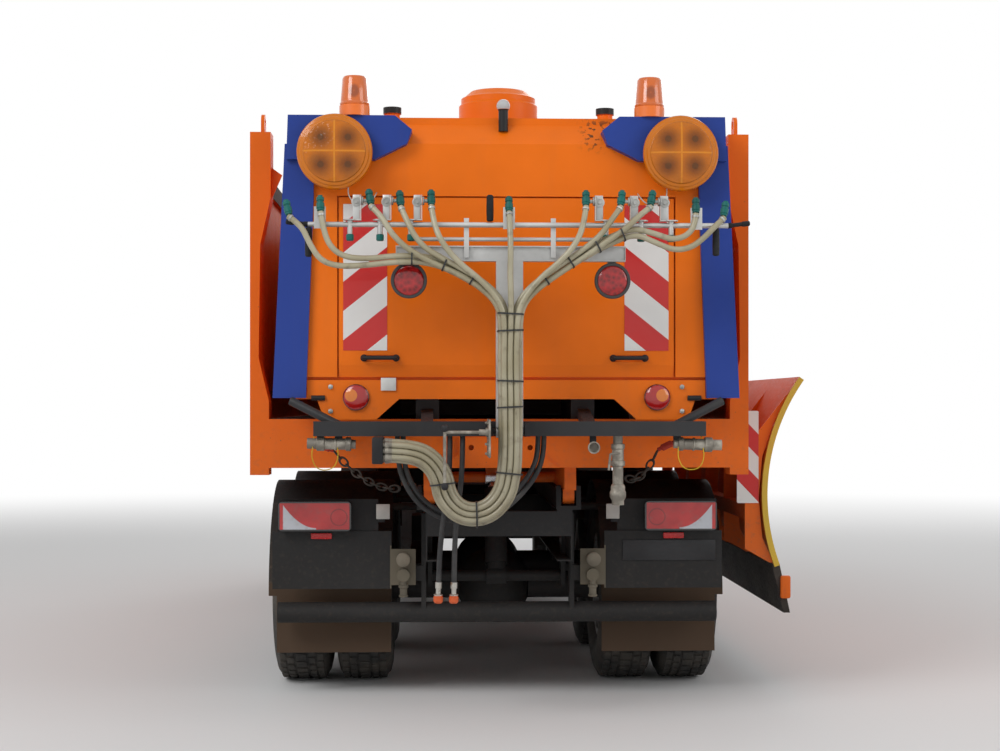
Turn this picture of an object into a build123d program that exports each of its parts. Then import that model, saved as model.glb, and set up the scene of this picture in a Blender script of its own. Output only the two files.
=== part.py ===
from build123d import *
import os
from math import cos, degrees, radians, sin, tan

# Winter road maintenance truck: a three-axle cab-over tipper with a slide-in de-icing tank unit,
# a folding rear spray boom and a wing plough folded along its right side.
# Millimetres, X to the truck's right, Y forward, Z up.
# The origin is on the ground, under the middle of the overall length.

# Stations along the truck
FRONT_AXLE_Y = 2600
WHEELBASE = 3600
BOGIE_SPACING = 1350
REAR_OVERHANG = 1210
CAB_OVERHANG = 1440
MID_AXLE_Y = FRONT_AXLE_Y - WHEELBASE
REAR_AXLE_Y = MID_AXLE_Y - BOGIE_SPACING
BED_REAR_Y = REAR_AXLE_Y - REAR_OVERHANG
CAB_FRONT_Y = FRONT_AXLE_Y + CAB_OVERHANG

# Wheels, size 315/80 R 22.5 on 22.5 x 9.00 rims
TYRE_RADIUS = 538
TYRE_WIDTH = 312
RIM_RADIUS = 286
RIM_WIDTH = 229
RIM_WALL = 20
FLANGE_HEIGHT = 17
FLANGE_WIDTH = 12
TWIN_SPACING = 350
FRONT_TRACK = 2040
REAR_TRACK = 1820
KINGPIN_X = 840
SPINDLE_RADIUS = 45
AXLE_Z = TYRE_RADIUS

# Clearances
SEAT_GAP = 0.3
PIN_GAP = 0.05
MOVING_GAP = 6

# Chassis frame
RAIL_OUTER_X = 385
RAIL_HEIGHT = 270
RAIL_FLANGE = 80
RAIL_WALL = 8
FRAME_TOP_Z = 1030
RAIL_REAR_Y = BED_REAR_Y + 190
RAIL_FRONT_Y = CAB_FRONT_Y - 260
FRAME_BOTTOM_Z = FRAME_TOP_Z - RAIL_HEIGHT
RAIL_INNER_X = RAIL_OUTER_X - RAIL_WALL

# Bed and its tipping hinge
BED_LENGTH = 5100
BED_HALF_WIDTH = 1280
BED_FLOOR_Z = 1508
FLOOR_THICKNESS = 50
SILL_BOTTOM_Z = 1258
SIDE_TOP_Z = 2800
SIDE_WALL = 60
POST_TOP_Z = 2975
POST_BOTTOM_Z = 1222
POST_DEPTH = 140
TIP_Y = BED_REAR_Y + 250
TIP_Z = 1110
TIP_PIN_RADIUS = 30
TIP_LUG_RADIUS = 54
SUBFRAME_HEIGHT = 100
BED_FRONT_Y = BED_REAR_Y + BED_LENGTH

# Cab
CAB_HALF_WIDTH = 1150
CAB_LENGTH = 1980
CAB_FLOOR_Z = 1150
CAB_ROOF_Z = 2950
CAB_WALL = 58
CAB_BACK_Y = CAB_FRONT_Y - CAB_LENGTH
DOOR_FRONT_Y = CAB_FRONT_Y - 160
DOOR_WIDTH = 860

# Tank unit, set a little to the right of the bed's middle
UNIT_X = 25
UNIT_REAR_Y = BED_REAR_Y - 200
UNIT_HALF_WIDTH = 1085
UNIT_BASE_Z = 1610
UNIT_TOP_Z = 3034
HOUSING_LENGTH = 960
TANK_LENGTH = 3700

# Spray boom, hinged at the foot of its mast
BOOM_Y = BED_REAR_Y - 500
BOOM_HINGE_Z = 1452
MAST_X = 32
MAST_HALF = 52
MAST_PIN_RADIUS = 15
CHANNEL_Z = (2274, 2348)
SPRAY_Y = BOOM_Y - 10
SPRAY_TUBE_Z = 2446
SPRAY_TUBE_RADIUS = 12.5
NOZZLE_Z = 2560
BRACKETS = ((-742, 1), (-598, 1), (-450, 1), (489, -1), (659, -1), (804, -1))

# Hoses of the boom: three layers in front of the mast, side by side at one pitch
HOSE_RADIUS = 14
HOSE_PITCH = 29
HOSE_LAYERS = (BOOM_Y - 56, BOOM_Y - 85, BOOM_Y - 114)
BUNDLE_TOP_Z = 1950
BUNDLE_END_Z = 1490
BEAM_Y = (BED_REAR_Y - 450, BED_REAR_Y - 350)
BEAM_Z = (1428, 1500)
MANIFOLD_X = -410
BLACK_HOSE_RADIUS = 13

# Underbody hoist, a ram between a cross tube of the frame and one of the bed
HOIST_BASE = (TIP_Y + 410, 640)
HOIST_TOP = (TIP_Y + 591, 1175)
HOIST_SLOT = (5, 20)

# Wing plough on the right side
PLOUGH_REAR_Y = BED_REAR_Y + 450
PLOUGH_LENGTH = 3500
PLOUGH_FRONT_Y = PLOUGH_REAR_Y + PLOUGH_LENGTH
PLOUGH_TOP = (1664, 1716)
PLOUGH_MIDDLE = (1465, 1075)
PLOUGH_FOOT = (1533, 712)
PLOUGH_TIP = (1582, 451)
PLOUGH_SHEET = 30
WING_PIVOT_X = 1240
WING_PIVOT_Y = PLOUGH_FRONT_Y + 30
WING_PIN_RADIUS = 25
WING_EAR_Z = (760, 1090)
EAR_THICKNESS = 28
MAST_OUTER_X = 1100
MAST_FOOT_Z = 230
MAST_TOP_Z = 1190
LIFT_TRAVEL = 446
SLIDE_GAP = 0.1
BRACE_Z = 880
BRACE_BASE = (1190, 250)
BRACE_TIP = (1320, -560)
BRACE_SLOT = (10, 2)


def block(x, y, z):
    """Box between two limits on each axis."""
    return Pos(sum(x) / 2, sum(y) / 2, sum(z) / 2) * Box(x[1] - x[0], y[1] - y[0], z[1] - z[0])


def bar(start, end, radius):
    """Round bar between two points."""
    run = Vector(*end) - Vector(*start)
    ends = (Align.CENTER, Align.CENTER, Align.MIN)
    return Plane(origin=Vector(*start), z_dir=run) * Cylinder(radius, run.length, align=ends)


def pin_x(x, y, z, radius):
    """Round bar along X between two limits."""
    return bar((x[0], y, z), (x[1], y, z), radius)


def pin_y(x, y, z, radius):
    """Round bar along Y between two limits."""
    return bar((x, y[0], z), (x, y[1], z), radius)


def pin_z(x, y, z, radius):
    """Round bar along Z between two limits."""
    return bar((x, y, z[0]), (x, y, z[1]), radius)


def outline(points, corner=0):
    """Flat face inside a closed run of straight edges, with its corners rounded."""
    face = make_face(Polyline(*points, close=True))
    return fillet(face.vertices(), corner) if corner else face


def along_x(face, x):
    """Face drawn in (Y, Z), extruded between two X limits."""
    return extrude(Plane.YZ.offset(x[0]) * face, amount=x[1] - x[0])


def along_y(face, y):
    """Face drawn in (X, Z), extruded between two Y limits."""
    return extrude(Plane.XZ.offset(-y[1]) * face, amount=y[1] - y[0])


def along_z(face, z):
    """Face drawn in (X, Y), extruded between two Z limits."""
    return extrude(Plane.XY.offset(z[0]) * face, amount=z[1] - z[0])


def round_lug(y, z, radius, base_z):
    """Face in (Y, Z): a lug with a round end about (y, z) and straight sides to its base."""
    reach = radius if z > base_z else -radius
    end = ThreePointArc((y - radius, z), (y, z + reach), (y + radius, z))
    return make_face([end, Polyline((y + radius, z), (y + radius, base_z), (y - radius, base_z), (y - radius, z))])


def both_sides(shape):
    """The shape and its mirror image on the truck's other side."""
    return Part() + [shape, mirror(shape, Plane.YZ)]


def joined(shapes):
    """All shapes of one node as one body where they touch."""
    return Part() + list(shapes)


def cord(points, radius):
    """Round cord along straight runs joined by the largest tangent arcs; its bend radii are printed."""
    spots = [Vector(*point) for point in points]
    runs = [after - before for before, after in zip(spots, spots[1:])]
    radii = []
    for before, after in zip(runs, runs[1:]):
        turn = radians(before.get_angle(after))
        radii.append(0.45 * min(before.length, after.length) / tan(turn / 2))
    path = FilletPolyline(*spots, radius=radii)
    section = Plane(origin=spots[0], z_dir=runs[0]) * Circle(radius)
    solid = sweep(section, path=path)
    print("cord radii", [round(r) for r in radii], "volume ratio", round(solid.volume / (path.length * section.area), 4))
    return solid


def save(name, shape):
    """Write one node to its own file."""
    export_step(Part() + [shape] if isinstance(shape, Solid) else shape, f"parts/{name}.step")


def make_frame():
    """Ladder frame: two channel rails, cross members, cab mounts and the tipping subframe with its pins."""
    channel = [
        (RAIL_OUTER_X, FRAME_BOTTOM_Z), (RAIL_OUTER_X, FRAME_TOP_Z), (RAIL_OUTER_X - RAIL_FLANGE, FRAME_TOP_Z),
        (RAIL_OUTER_X - RAIL_FLANGE, FRAME_TOP_Z - RAIL_WALL), (RAIL_INNER_X, FRAME_TOP_Z - RAIL_WALL),
        (RAIL_INNER_X, FRAME_BOTTOM_Z + RAIL_WALL), (RAIL_OUTER_X - RAIL_FLANGE, FRAME_BOTTOM_Z + RAIL_WALL),
        (RAIL_OUTER_X - RAIL_FLANGE, FRAME_BOTTOM_Z),
    ]
    pieces = [both_sides(along_y(outline(channel), (RAIL_REAR_Y, RAIL_FRONT_Y)))]
    member_high = FRAME_TOP_Z - RAIL_WALL
    bogie_y = (MID_AXLE_Y + REAR_AXLE_Y) / 2
    for y in (RAIL_REAR_Y, bogie_y - 30, MID_AXLE_Y + 640, RAIL_FRONT_Y - 60):
        pieces.append(block((-RAIL_INNER_X, RAIL_INNER_X), (y, y + 60), (member_high - 130, member_high)))
    pieces.append(block((-RAIL_OUTER_X, RAIL_OUTER_X), (CAB_BACK_Y + 20, CAB_BACK_Y + 100), (FRAME_TOP_Z, CAB_FLOOR_Z)))
    pieces.append(both_sides(block((RAIL_OUTER_X - RAIL_FLANGE, RAIL_OUTER_X), (RAIL_FRONT_Y - 120, RAIL_FRONT_Y),
                                   (FRAME_TOP_Z, CAB_FLOOR_Z))))
    hoist_y, hoist_z = HOIST_BASE
    hanger = [(hoist_y - 100, member_high), (hoist_y + 100, member_high), (hoist_y + 50, hoist_z - 50),
              (hoist_y - 50, hoist_z - 50)]
    pieces.append(both_sides(along_x(outline(hanger), (RAIL_INNER_X - 24, RAIL_INNER_X))))
    pieces.append(pin_x((-RAIL_INNER_X, RAIL_INNER_X), hoist_y, hoist_z, TIP_PIN_RADIUS))
    return joined(pieces + [make_subframe(), make_plough_plate()])


def make_subframe():
    """Tipping subframe on the rails, with the rear hinge brackets and their pins."""
    top = FRAME_TOP_Z + SUBFRAME_HEIGHT
    rear = TIP_Y + 90
    rail = block((RAIL_OUTER_X - 72, RAIL_OUTER_X), (rear, BED_FRONT_Y - 60), (FRAME_TOP_Z, top))
    base = block((300, 430), (TIP_Y - 60, TIP_Y + 60), (FRAME_TOP_Z, FRAME_TOP_Z + 20))
    cheek = outline([(TIP_Y - 60, FRAME_TOP_Z + 20), (TIP_Y + 60, FRAME_TOP_Z + 20), (TIP_Y + 45, TIP_Z + 45),
                     (TIP_Y - 45, TIP_Z + 45)])
    pieces = [rail, base, along_x(cheek, (300, 325)), along_x(cheek, (405, 430)),
              pin_x((300, 430), TIP_Y, TIP_Z, TIP_PIN_RADIUS),
              block((313, 385), (TIP_Y + 60, rear), (FRAME_TOP_Z, FRAME_TOP_Z + 20))]
    return both_sides(joined(pieces))


def tyre(x):
    """One tyre as a ring round the X axis, centred at x."""
    half = TYRE_WIDTH / 2
    bead = RIM_WIDTH / 2 - SEAT_GAP
    seat = RIM_RADIUS + SEAT_GAP
    lip = RIM_RADIUS + FLANGE_HEIGHT + 4
    section = [
        (x - bead, seat), (x + bead, seat), (x + bead, lip), (x + half, RIM_RADIUS + 120),
        (x + half - 12, TYRE_RADIUS - 45), (x + half - 38, TYRE_RADIUS - 6), (x, TYRE_RADIUS),
        (x - half + 38, TYRE_RADIUS - 6), (x - half + 12, TYRE_RADIUS - 45), (x - half, RIM_RADIUS + 120), (x - bead, lip),
    ]
    return revolve(outline(section), Axis.X)


def rim_section(x):
    """Half section of a rim barrel with its two flanges, as points from the inner to the outer edge."""
    edge = RIM_WIDTH / 2
    lip = RIM_RADIUS + FLANGE_HEIGHT
    inner = RIM_RADIUS - RIM_WALL
    return [
        (x - edge - FLANGE_WIDTH, inner), (x + edge + FLANGE_WIDTH, inner), (x + edge + FLANGE_WIDTH, lip),
        (x + edge, lip), (x + edge, RIM_RADIUS), (x - edge, RIM_RADIUS), (x - edge, lip),
        (x - edge - FLANGE_WIDTH, lip),
    ]


def ring(points):
    """Solid of revolution round the X axis from a half section of (x, radius) points."""
    return revolve(outline(points), Axis.X)


def make_front_wheel():
    """Steered wheel: tyre, rim with its dished disc, hub and brake drum, outward along +X."""
    bore = SPINDLE_RADIUS + SEAT_GAP
    inner = RIM_RADIUS - RIM_WALL
    disc = ring([(60, inner), (95, inner), (150, 175), (150, 0), (126, 0), (126, 160)])
    hub = ring([(-92, bore), (-92, 205), (-20, 205), (-20, 110), (126, 110), (126, 0), (90, 0), (90, bore)])
    cap = ring([(150, 0), (150, 95), (205, 85), (215, 60), (215, 0)])
    return joined([ring(rim_section(0)), disc, hub, cap]), tyre(0)


def make_twin_wheel():
    """Driven twin wheel: two tyres on two rims whose discs meet in the middle, with hub and drum."""
    bore = SPINDLE_RADIUS + SEAT_GAP
    half = TWIN_SPACING / 2
    inner = RIM_RADIUS - RIM_WALL
    outer_disc = ring([(70, inner), (100, inner), (18, 170), (18, 100), (0, 100), (0, 165)])
    inner_disc = ring([(-70, inner), (-100, inner), (-18, 170), (-18, 100), (0, 100), (0, 165)])
    hub = ring([(-250, bore), (-250, 205), (-130, 205), (-110, 130), (120, 130), (140, 100), (140, 0), (105, 0),
                (105, bore)])
    rims = joined([ring(rim_section(half)), ring(rim_section(-half)), outer_disc, inner_disc, hub])
    return rims, Part() + [tyre(half), tyre(-half)]


def make_front_axle():
    """Dropped beam axle between the kingpins, bored for them at its two eyes."""
    eye = KINGPIN_X
    beam = [
        (-eye, 500), (-eye + 90, 500), (-eye + 250, 420), (eye - 250, 420), (eye - 90, 500), (eye, 500),
        (eye, 580), (eye - 90, 580), (eye - 250, 510), (-eye + 250, 510), (-eye + 90, 580), (-eye, 580),
    ]
    y = (FRONT_AXLE_Y - 50, FRONT_AXLE_Y + 50)
    body = along_y(outline(beam), y)
    pieces = [body, both_sides(pin_z(eye, FRONT_AXLE_Y, (500, 580), 50))]
    axle = joined(pieces)
    for side in (-1, 1):
        axle -= pin_z(side * eye, FRONT_AXLE_Y, (490, 590), 25 + PIN_GAP)
    return axle


def make_knuckle():
    """Right steering knuckle: fork round the beam's eye, kingpin, spindle and steering arm."""
    x = KINGPIN_X
    gap = SEAT_GAP
    fork_back = x + 50 + MOVING_GAP
    pieces = [
        block((x - 40, fork_back + 25), (FRONT_AXLE_Y - 40, FRONT_AXLE_Y + 40), (580 + gap, 620)),
        block((x - 40, fork_back + 25), (FRONT_AXLE_Y - 40, FRONT_AXLE_Y + 40), (460, 500 - gap)),
        block((fork_back, fork_back + 25), (FRONT_AXLE_Y - 60, FRONT_AXLE_Y + 60), (460, 620)),
        pin_z(x, FRONT_AXLE_Y, (460, 620), 25),
        pin_x((fork_back + 25, FRONT_TRACK / 2 + 90 - gap), FRONT_AXLE_Y, AXLE_Z, SPINDLE_RADIUS),
        block((x - 20, x + 30), (FRONT_AXLE_Y - 260, FRONT_AXLE_Y - 40), (462, 488)),
    ]
    return joined(pieces)


def make_driven_axles():
    """Two driven axles, banjo housing, tubes and the spindles that carry the hubs, with the shaft between them."""
    hub_inner = REAR_TRACK / 2 - 250
    spindle_end = REAR_TRACK / 2 + 105 - SEAT_GAP
    pieces = []
    for y in (MID_AXLE_Y, REAR_AXLE_Y):
        pieces.append(Pos(0, y, AXLE_Z) * Sphere(215))
        pieces.append(pin_x((-hub_inner + MOVING_GAP, hub_inner - MOVING_GAP), y, AXLE_Z, 80))
        pieces.append(pin_x((-spindle_end, spindle_end), y, AXLE_Z, SPINDLE_RADIUS))
        pieces.append(pin_y(0, (y + 100, y + 300), AXLE_Z + 40, 70))
    pieces.append(bar((0, MID_AXLE_Y - 200, AXLE_Z), (0, REAR_AXLE_Y + 290, AXLE_Z + 40), 45))
    return joined(pieces)


def leaf_pack(y, z, half_length, rise, leaves, thickness, step, x):
    """Leaf spring pack: concentric leaves below each other, each shorter than the one above by the same step."""
    radius = (half_length ** 2 + rise ** 2) / (2 * abs(rise))
    sign = 1 if rise > 0 else -1
    centre = z + sign * radius
    pieces = []
    for leaf in range(leaves):
        top = radius + sign * leaf * thickness
        low = top + sign * thickness
        half_angle = degrees((half_length - leaf * step) / radius)
        middle = 270 if sign > 0 else 90
        upper = CenterArc((y, centre), top, middle - half_angle, 2 * half_angle)
        lower = CenterArc((y, centre), low, middle - half_angle, 2 * half_angle)
        face = make_face([upper, Line(upper @ 1, lower @ 1), lower, Line(lower @ 0, upper @ 0)])
        pieces.append(along_x(face, x))
    return pieces


def make_front_springs():
    """Front leaf springs with their hanger brackets on the rails."""
    x = (RAIL_OUTER_X + 12, RAIL_OUTER_X + 92)
    pieces = leaf_pack(FRONT_AXLE_Y, 608, 800, 96, 4, 16, 110, x)
    pieces.append(block(x, (FRONT_AXLE_Y - 60, FRONT_AXLE_Y + 60), (510, 560)))
    for end in (-1, 1):
        y = FRONT_AXLE_Y + end * 800
        pieces.append(block((RAIL_OUTER_X, x[1]), (y - 45, y + 45), (660, 900)))
    return both_sides(joined(pieces))


def make_rear_springs():
    """Bogie springs: one inverted pack each side, pivoted between the axles, its ends on the axle tubes."""
    y = (MID_AXLE_Y + REAR_AXLE_Y) / 2
    x = (RAIL_OUTER_X + 10, RAIL_OUTER_X + 100)
    seat = AXLE_Z + 80
    pieces = leaf_pack(y, 750, BOGIE_SPACING / 2 + 60, -90, 5, 20, 90, x)
    pieces.append(block((RAIL_OUTER_X, x[1]), (y - 110, y + 110), (620, 900)))
    for axle_y in (MID_AXLE_Y, REAR_AXLE_Y):
        pieces.append(block(x, (axle_y - 60, axle_y + 60), (seat - 1, seat + 38)))
    return both_sides(joined(pieces)) - make_driven_axles()


def make_rear_guards():
    """Plastic arches over the twin wheels, each on two round stays from the rail."""
    x = (REAR_TRACK / 2 - TWIN_SPACING / 2 - 160, REAR_TRACK / 2 + TWIN_SPACING / 2 + 160)
    radius = TYRE_RADIUS + 62
    pieces = []
    for y, start, end in ((MID_AXLE_Y, 20, 148), (REAR_AXLE_Y, 32, 180)):
        outer = CenterArc((y, AXLE_Z), radius + 8, start, end - start)
        inner = CenterArc((y, AXLE_Z), radius, start, end - start)
        face = make_face([outer, Line(outer @ 1, inner @ 1), inner, Line(inner @ 0, outer @ 0)])
        pieces.append(along_x(face, x))
        for angle in (50, 125):
            reach = radius + 8 + 14
            stay_y = y + reach * cos(radians(angle))
            stay_z = AXLE_Z + reach * sin(radians(angle))
            pieces.append(pin_x((RAIL_OUTER_X, x[1]), stay_y, min(stay_z, FRAME_TOP_Z - 20), 20))
    return both_sides(joined(pieces))


def make_mudguards():
    """All mudguards of the truck, with the rubber flaps behind the last wheels."""
    y = REAR_AXLE_Y - TYRE_RADIUS - 74
    flap = block((577, 1200), (y, y + 8), (229, 590))
    rear = joined([make_rear_guards(), both_sides(flap)])
    return joined([rear, make_front_guards()])


def make_rear_carrier():
    """Rear underrun tube on two drop arms from the rails, with the dark plates that carry the tail lamps."""
    y = BED_REAR_Y + 450
    arm = block((RAIL_OUTER_X, RAIL_OUTER_X + 25), (y - 50, y + 50), (440, 1000))
    plates = make_rear_panels()
    return joined([pin_x((-1180, 1180), y, 466, 55), both_sides(arm), plates, make_sockets()])


def make_rear_panels():
    """Dark rear plates below and behind the tail lamps, on a carrier from each drop arm."""
    y = BED_REAR_Y + 370
    pieces = [
        block((570, 1202), (y, y + 10), (600, 907)),
        block((640, 1175), (y + 10, y + 20), (600, 1078)),
        block((RAIL_OUTER_X + 5, 1150), (y + 20, y + 36), (640, 720)),
    ]
    return both_sides(joined(pieces))


def make_tail_lamps():
    """Tail lamp housings, upright on the rear plates."""
    y = BED_REAR_Y + 370
    lamp = fillet(block((781, 1166), (y - 62, y + 10), (912, 1068)).edges().filter_by(Axis.Y), 22)
    return both_sides(lamp)


def make_sockets():
    """Trailer sockets on the inner edge of each rear plate."""
    y = BED_REAR_Y + 370
    plate = block((440, 575), (y - 8, y), (620, 812))
    pieces = [plate]
    for x, z in ((505, 760), (505, 675)):
        pieces.append(pin_y(x, (y - 48, y - 8), z, 34))
    return both_sides(joined(pieces))


def make_powertrain():
    """Engine as one plain block under the cab, gearbox behind it and the shaft to the first driven axle."""
    engine = block((-300, 300), (FRONT_AXLE_Y - 400, FRONT_AXLE_Y + 850), (620, 1130))
    gearbox = outline([(FRONT_AXLE_Y - 400, 650), (FRONT_AXLE_Y - 400, 1010), (FRONT_AXLE_Y - 800, 980),
                       (FRONT_AXLE_Y - 1350, 900), (FRONT_AXLE_Y - 1350, 720), (FRONT_AXLE_Y - 800, 640)])
    flange_y = MID_AXLE_Y + 300
    shaft = bar((0, FRONT_AXLE_Y - 1340, 810), (0, flange_y + 25, AXLE_Z + 46), 50)
    flange = pin_y(0, (flange_y + SEAT_GAP, flange_y + 30), AXLE_Z + 40, 70)
    feet = []
    for y in (FRONT_AXLE_Y - 200, FRONT_AXLE_Y + 600):
        feet.append(block((-RAIL_INNER_X, RAIL_INNER_X), (y, y + 80), (800, 880)))
    return joined([engine, along_x(gearbox, (-230, 230)), shaft, flange] + feet)


def make_springs():
    """Leaf springs of all three axles."""
    return Part() + [make_front_springs(), make_rear_springs()]


def make_fuel_tank():
    """Rounded fuel tank on the left rail, on two straps' brackets."""
    section = outline([(-1120, 430), (-480, 430), (-480, 980), (-1120, 980)], 70)
    y = (-300, 1150)
    pieces = [along_y(section, y)]
    for station in (y[0] + 200, y[1] - 260):
        pieces.append(block((-480, -RAIL_OUTER_X), (station, station + 60), (FRAME_BOTTOM_Z, 960)))
    return joined(pieces)


def make_battery_box():
    """Battery and air tank group on the left rail behind the cab."""
    pieces = [
        fillet(block((-1080, -560), (1240, 1660), (480, 900)).edges().filter_by(Axis.Y), 25),
        block((-560, -RAIL_OUTER_X), (1280, 1620), (FRAME_BOTTOM_Z, 880)),
    ]
    for x in (-960, -740):
        pieces.append(pin_y(x, (1210, 1690), 379, 102))
    return joined(pieces)


def make_silencer():
    """Exhaust silencer box on the right rail."""
    pieces = [
        fillet(block((450, 1080), (1000, 1680), (430, 960)).edges().filter_by(Axis.Z), 60),
        block((RAIL_OUTER_X, 450), (1080, 1600), (FRAME_BOTTOM_Z, 940)),
        pin_y(900, (1670, 1740), 570, 45),
    ]
    return joined(pieces)


def cab_body(inset):
    """Cab block from its side outline, all faces set in by the same amount."""
    front = CAB_FRONT_Y - inset
    back = CAB_BACK_Y + inset
    low = CAB_FLOOR_Z + inset
    high = CAB_ROOF_Z - inset
    side = [(back, low), (front, low), (front, 1740), (front - 150, 2720), (front - 300, high), (back, high)]
    half = CAB_HALF_WIDTH - inset
    body = along_x(outline(side), (-half, half))
    upright = body.edges().filter_by(lambda edge: abs((edge @ 0).X) > half - 1 and abs((edge @ 1).X) > half - 1)
    nose = upright.filter_by(lambda edge: min((edge @ 0).Y, (edge @ 1).Y) > front - 320 and abs((edge @ 0).Z - (edge @ 1).Z) > 1)
    return fillet(nose, max(150 - inset, 20))


def door_outline(inset):
    """Door outline in (Y, Z), set in all round by the given gap."""
    front = DOOR_FRONT_Y
    back = DOOR_FRONT_Y - DOOR_WIDTH
    points = [(front, CAB_FLOOR_Z + 25), (front, 1850), (front - 125, 2740), (back, 2740), (back, 1480),
              (back + 200, CAB_FLOOR_Z + 25)]
    return offset(outline(points, 30), amount=-inset) if inset else outline(points, 30)


def door_window():
    """Side window outline in (Y, Z)."""
    front = DOOR_FRONT_Y - 75
    back = DOOR_FRONT_Y - DOOR_WIDTH + 75
    return outline([(front, 1830), (front - 110, 2650), (back, 2650), (back, 1830)], 45)


def windscreen_outline():
    """Windscreen outline in (X, Z)."""
    return outline([(-1010, 1800), (1010, 1800), (975, 2640), (-975, 2640)], 60)


def make_cab():
    """Cab shell, windscreen, doors and door glass from one body, so that they meet with even gaps."""
    body = cab_body(0)
    cavity = cab_body(CAB_WALL)
    walls = body - cavity
    side = (CAB_HALF_WIDTH - CAB_WALL, CAB_HALF_WIDTH + 1)
    other = (-side[1], -side[0])
    screen_cut = along_y(windscreen_outline(), (CAB_FRONT_Y - 400, CAB_FRONT_Y + 10))
    shell = walls - along_x(door_outline(0), side) - along_x(door_outline(0), other) - screen_cut
    pane = (Pos(0, -20, 0) * body - Pos(0, -28, 0) * body) & screen_cut
    door = (walls & along_x(door_outline(MOVING_GAP), side)) - along_x(door_window(), side)
    glass = along_x(door_window(), (CAB_HALF_WIDTH - 34, CAB_HALF_WIDTH - 28))
    return shell, pane, door, glass


def make_cab_interior():
    """Dashboard across the cab's front, and two seats on the floor."""
    floor = CAB_FLOOR_Z + CAB_WALL
    half = CAB_HALF_WIDTH - CAB_WALL - 40
    dash = outline([(CAB_FRONT_Y - 85, floor + 330), (CAB_FRONT_Y - 85, floor + 540), (CAB_FRONT_Y - 260, floor + 620),
                    (CAB_FRONT_Y - 460, floor + 570), (CAB_FRONT_Y - 460, floor + 350)], 25)
    dashboard = joined([along_x(dash, (-half, half)),
                        block((-200, 200), (CAB_FRONT_Y - 420, CAB_FRONT_Y - 120), (floor, floor + 400))])
    profile = outline([(2900, floor + 280), (2900, floor + 420), (2520, floor + 420), (2420, floor + 1180),
                       (2280, floor + 1180), (2360, floor + 280)], 35)
    seats = []
    for x in (-560, 560):
        seats.append(joined([along_x(profile, (x - 250, x + 250)), block((x - 180, x + 180), (2420, 2820), (floor, floor + 290))]))
    tunnel = outline([(CAB_BACK_Y + CAB_WALL, floor), (CAB_BACK_Y + CAB_WALL, floor + 260),
                      (CAB_FRONT_Y - 700, floor + 260), (CAB_FRONT_Y - 600, floor)], 20)
    hump = along_x(tunnel, (-270, 270)) - block((-300, 300), (CAB_FRONT_Y - 470, CAB_FRONT_Y), (floor - 1, floor + 640))
    column_foot = Vector(-560, CAB_FRONT_Y - 463, floor + 480)
    column_head = Vector(-560, CAB_FRONT_Y - 640, floor + 600)
    tilt = Plane(origin=column_head, z_dir=column_head - column_foot)
    wheel = tilt * Torus(225, 16)
    spoke = tilt * (Box(430, 45, 14) + Cylinder(60, 30))
    column = bar(tuple(column_foot + Vector(0, 3, -2)), tuple(column_head), 35) - along_x(dash, (-half, half))
    steering = joined([wheel, spoke, column])
    return joined([dashboard, steering]), joined([hump] + seats)


def make_grille():
    """Front panel below the windscreen: a frame with slats standing on the cab's front."""
    y = (CAB_FRONT_Y, CAB_FRONT_Y + 28)
    panel = block((-820, 820), y, (CAB_FLOOR_Z + 10, 1690))
    for row in range(4):
        z = CAB_FLOOR_Z + 55 + row * 125
        panel -= block((-760, 760), (y[0] - 1, y[1] + 1), (z, z + 95))
    slats = [panel]
    for row in range(4):
        z = CAB_FLOOR_Z + 55 + row * 125
        slats.append(block((-760, 760), (y[0], y[0] + 12), (z + 40, z + 56)))
    return joined(slats)


def make_bumper():
    """Front bumper with corner returns, an opening for the plough plate and two lamp recesses."""
    front = CAB_FRONT_Y + 60
    plan = [(-CAB_HALF_WIDTH, 3660), (-CAB_HALF_WIDTH, front - 120), (-CAB_HALF_WIDTH + 120, front),
            (CAB_HALF_WIDTH - 120, front), (CAB_HALF_WIDTH, front - 120), (CAB_HALF_WIDTH, 3660),
            (CAB_HALF_WIDTH - 60, 3660), (CAB_HALF_WIDTH - 60, front - 150), (CAB_HALF_WIDTH - 150, front - 60),
            (-CAB_HALF_WIDTH + 150, front - 60), (-CAB_HALF_WIDTH + 60, front - 150), (-CAB_HALF_WIDTH + 60, 3660)]
    bumper = along_z(outline(plan), (390, CAB_FLOOR_Z - 12))
    bumper -= block((-600, 600), (CAB_FRONT_Y - 100, front + 10), (420, 1040))
    for side in (-1, 1):
        x = sorted((side * 680, side * 960))
        bumper -= block(x, (front - 35, front + 10), (640, 830))
    bracket = block((RAIL_OUTER_X, CAB_HALF_WIDTH - 50), (3690, 3750), (820, 900))
    return joined([bumper, both_sides(bracket)])


def make_headlamps():
    """Headlamps seated in the bumper's recesses."""
    front = CAB_FRONT_Y + 60
    return both_sides(block((680, 960), (front - 35, front + 4), (640, 830)))


def make_plough_plate():
    """Front mounting plate for a plough, on two brackets from the frame."""
    plate_y = (CAB_FRONT_Y + 140, CAB_FRONT_Y + 170)
    plate = block((-540, 540), plate_y, (470, 1000))
    for x in (-425, 425):
        for z in (535, 935):
            plate -= pin_y(x, (plate_y[0] - 1, plate_y[1] + 1), z, 14)
    pieces = [plate]
    for side in (-1, 1):
        x = sorted((side * 330, side * RAIL_OUTER_X))
        arm = outline([(RAIL_FRONT_Y, FRAME_BOTTOM_Z), (RAIL_FRONT_Y, FRAME_TOP_Z - 20), (plate_y[0], 960),
                       (plate_y[0], 520)])
        pieces.append(along_x(arm, x))
    return joined(pieces)


def make_steps():
    """Step wells between the bumper and the front wheels, two treads each side."""
    well = block((880, 1140), (3260, 3654), (430, CAB_FLOOR_Z - 12))
    for z in ((500, 740), (800, 1040)):
        well -= block((960, 1141), (3290, 3620), z)
    bracket = block((RAIL_OUTER_X, 880), (3500, 3560), (900, 1000))
    return both_sides(well + bracket)


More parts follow.
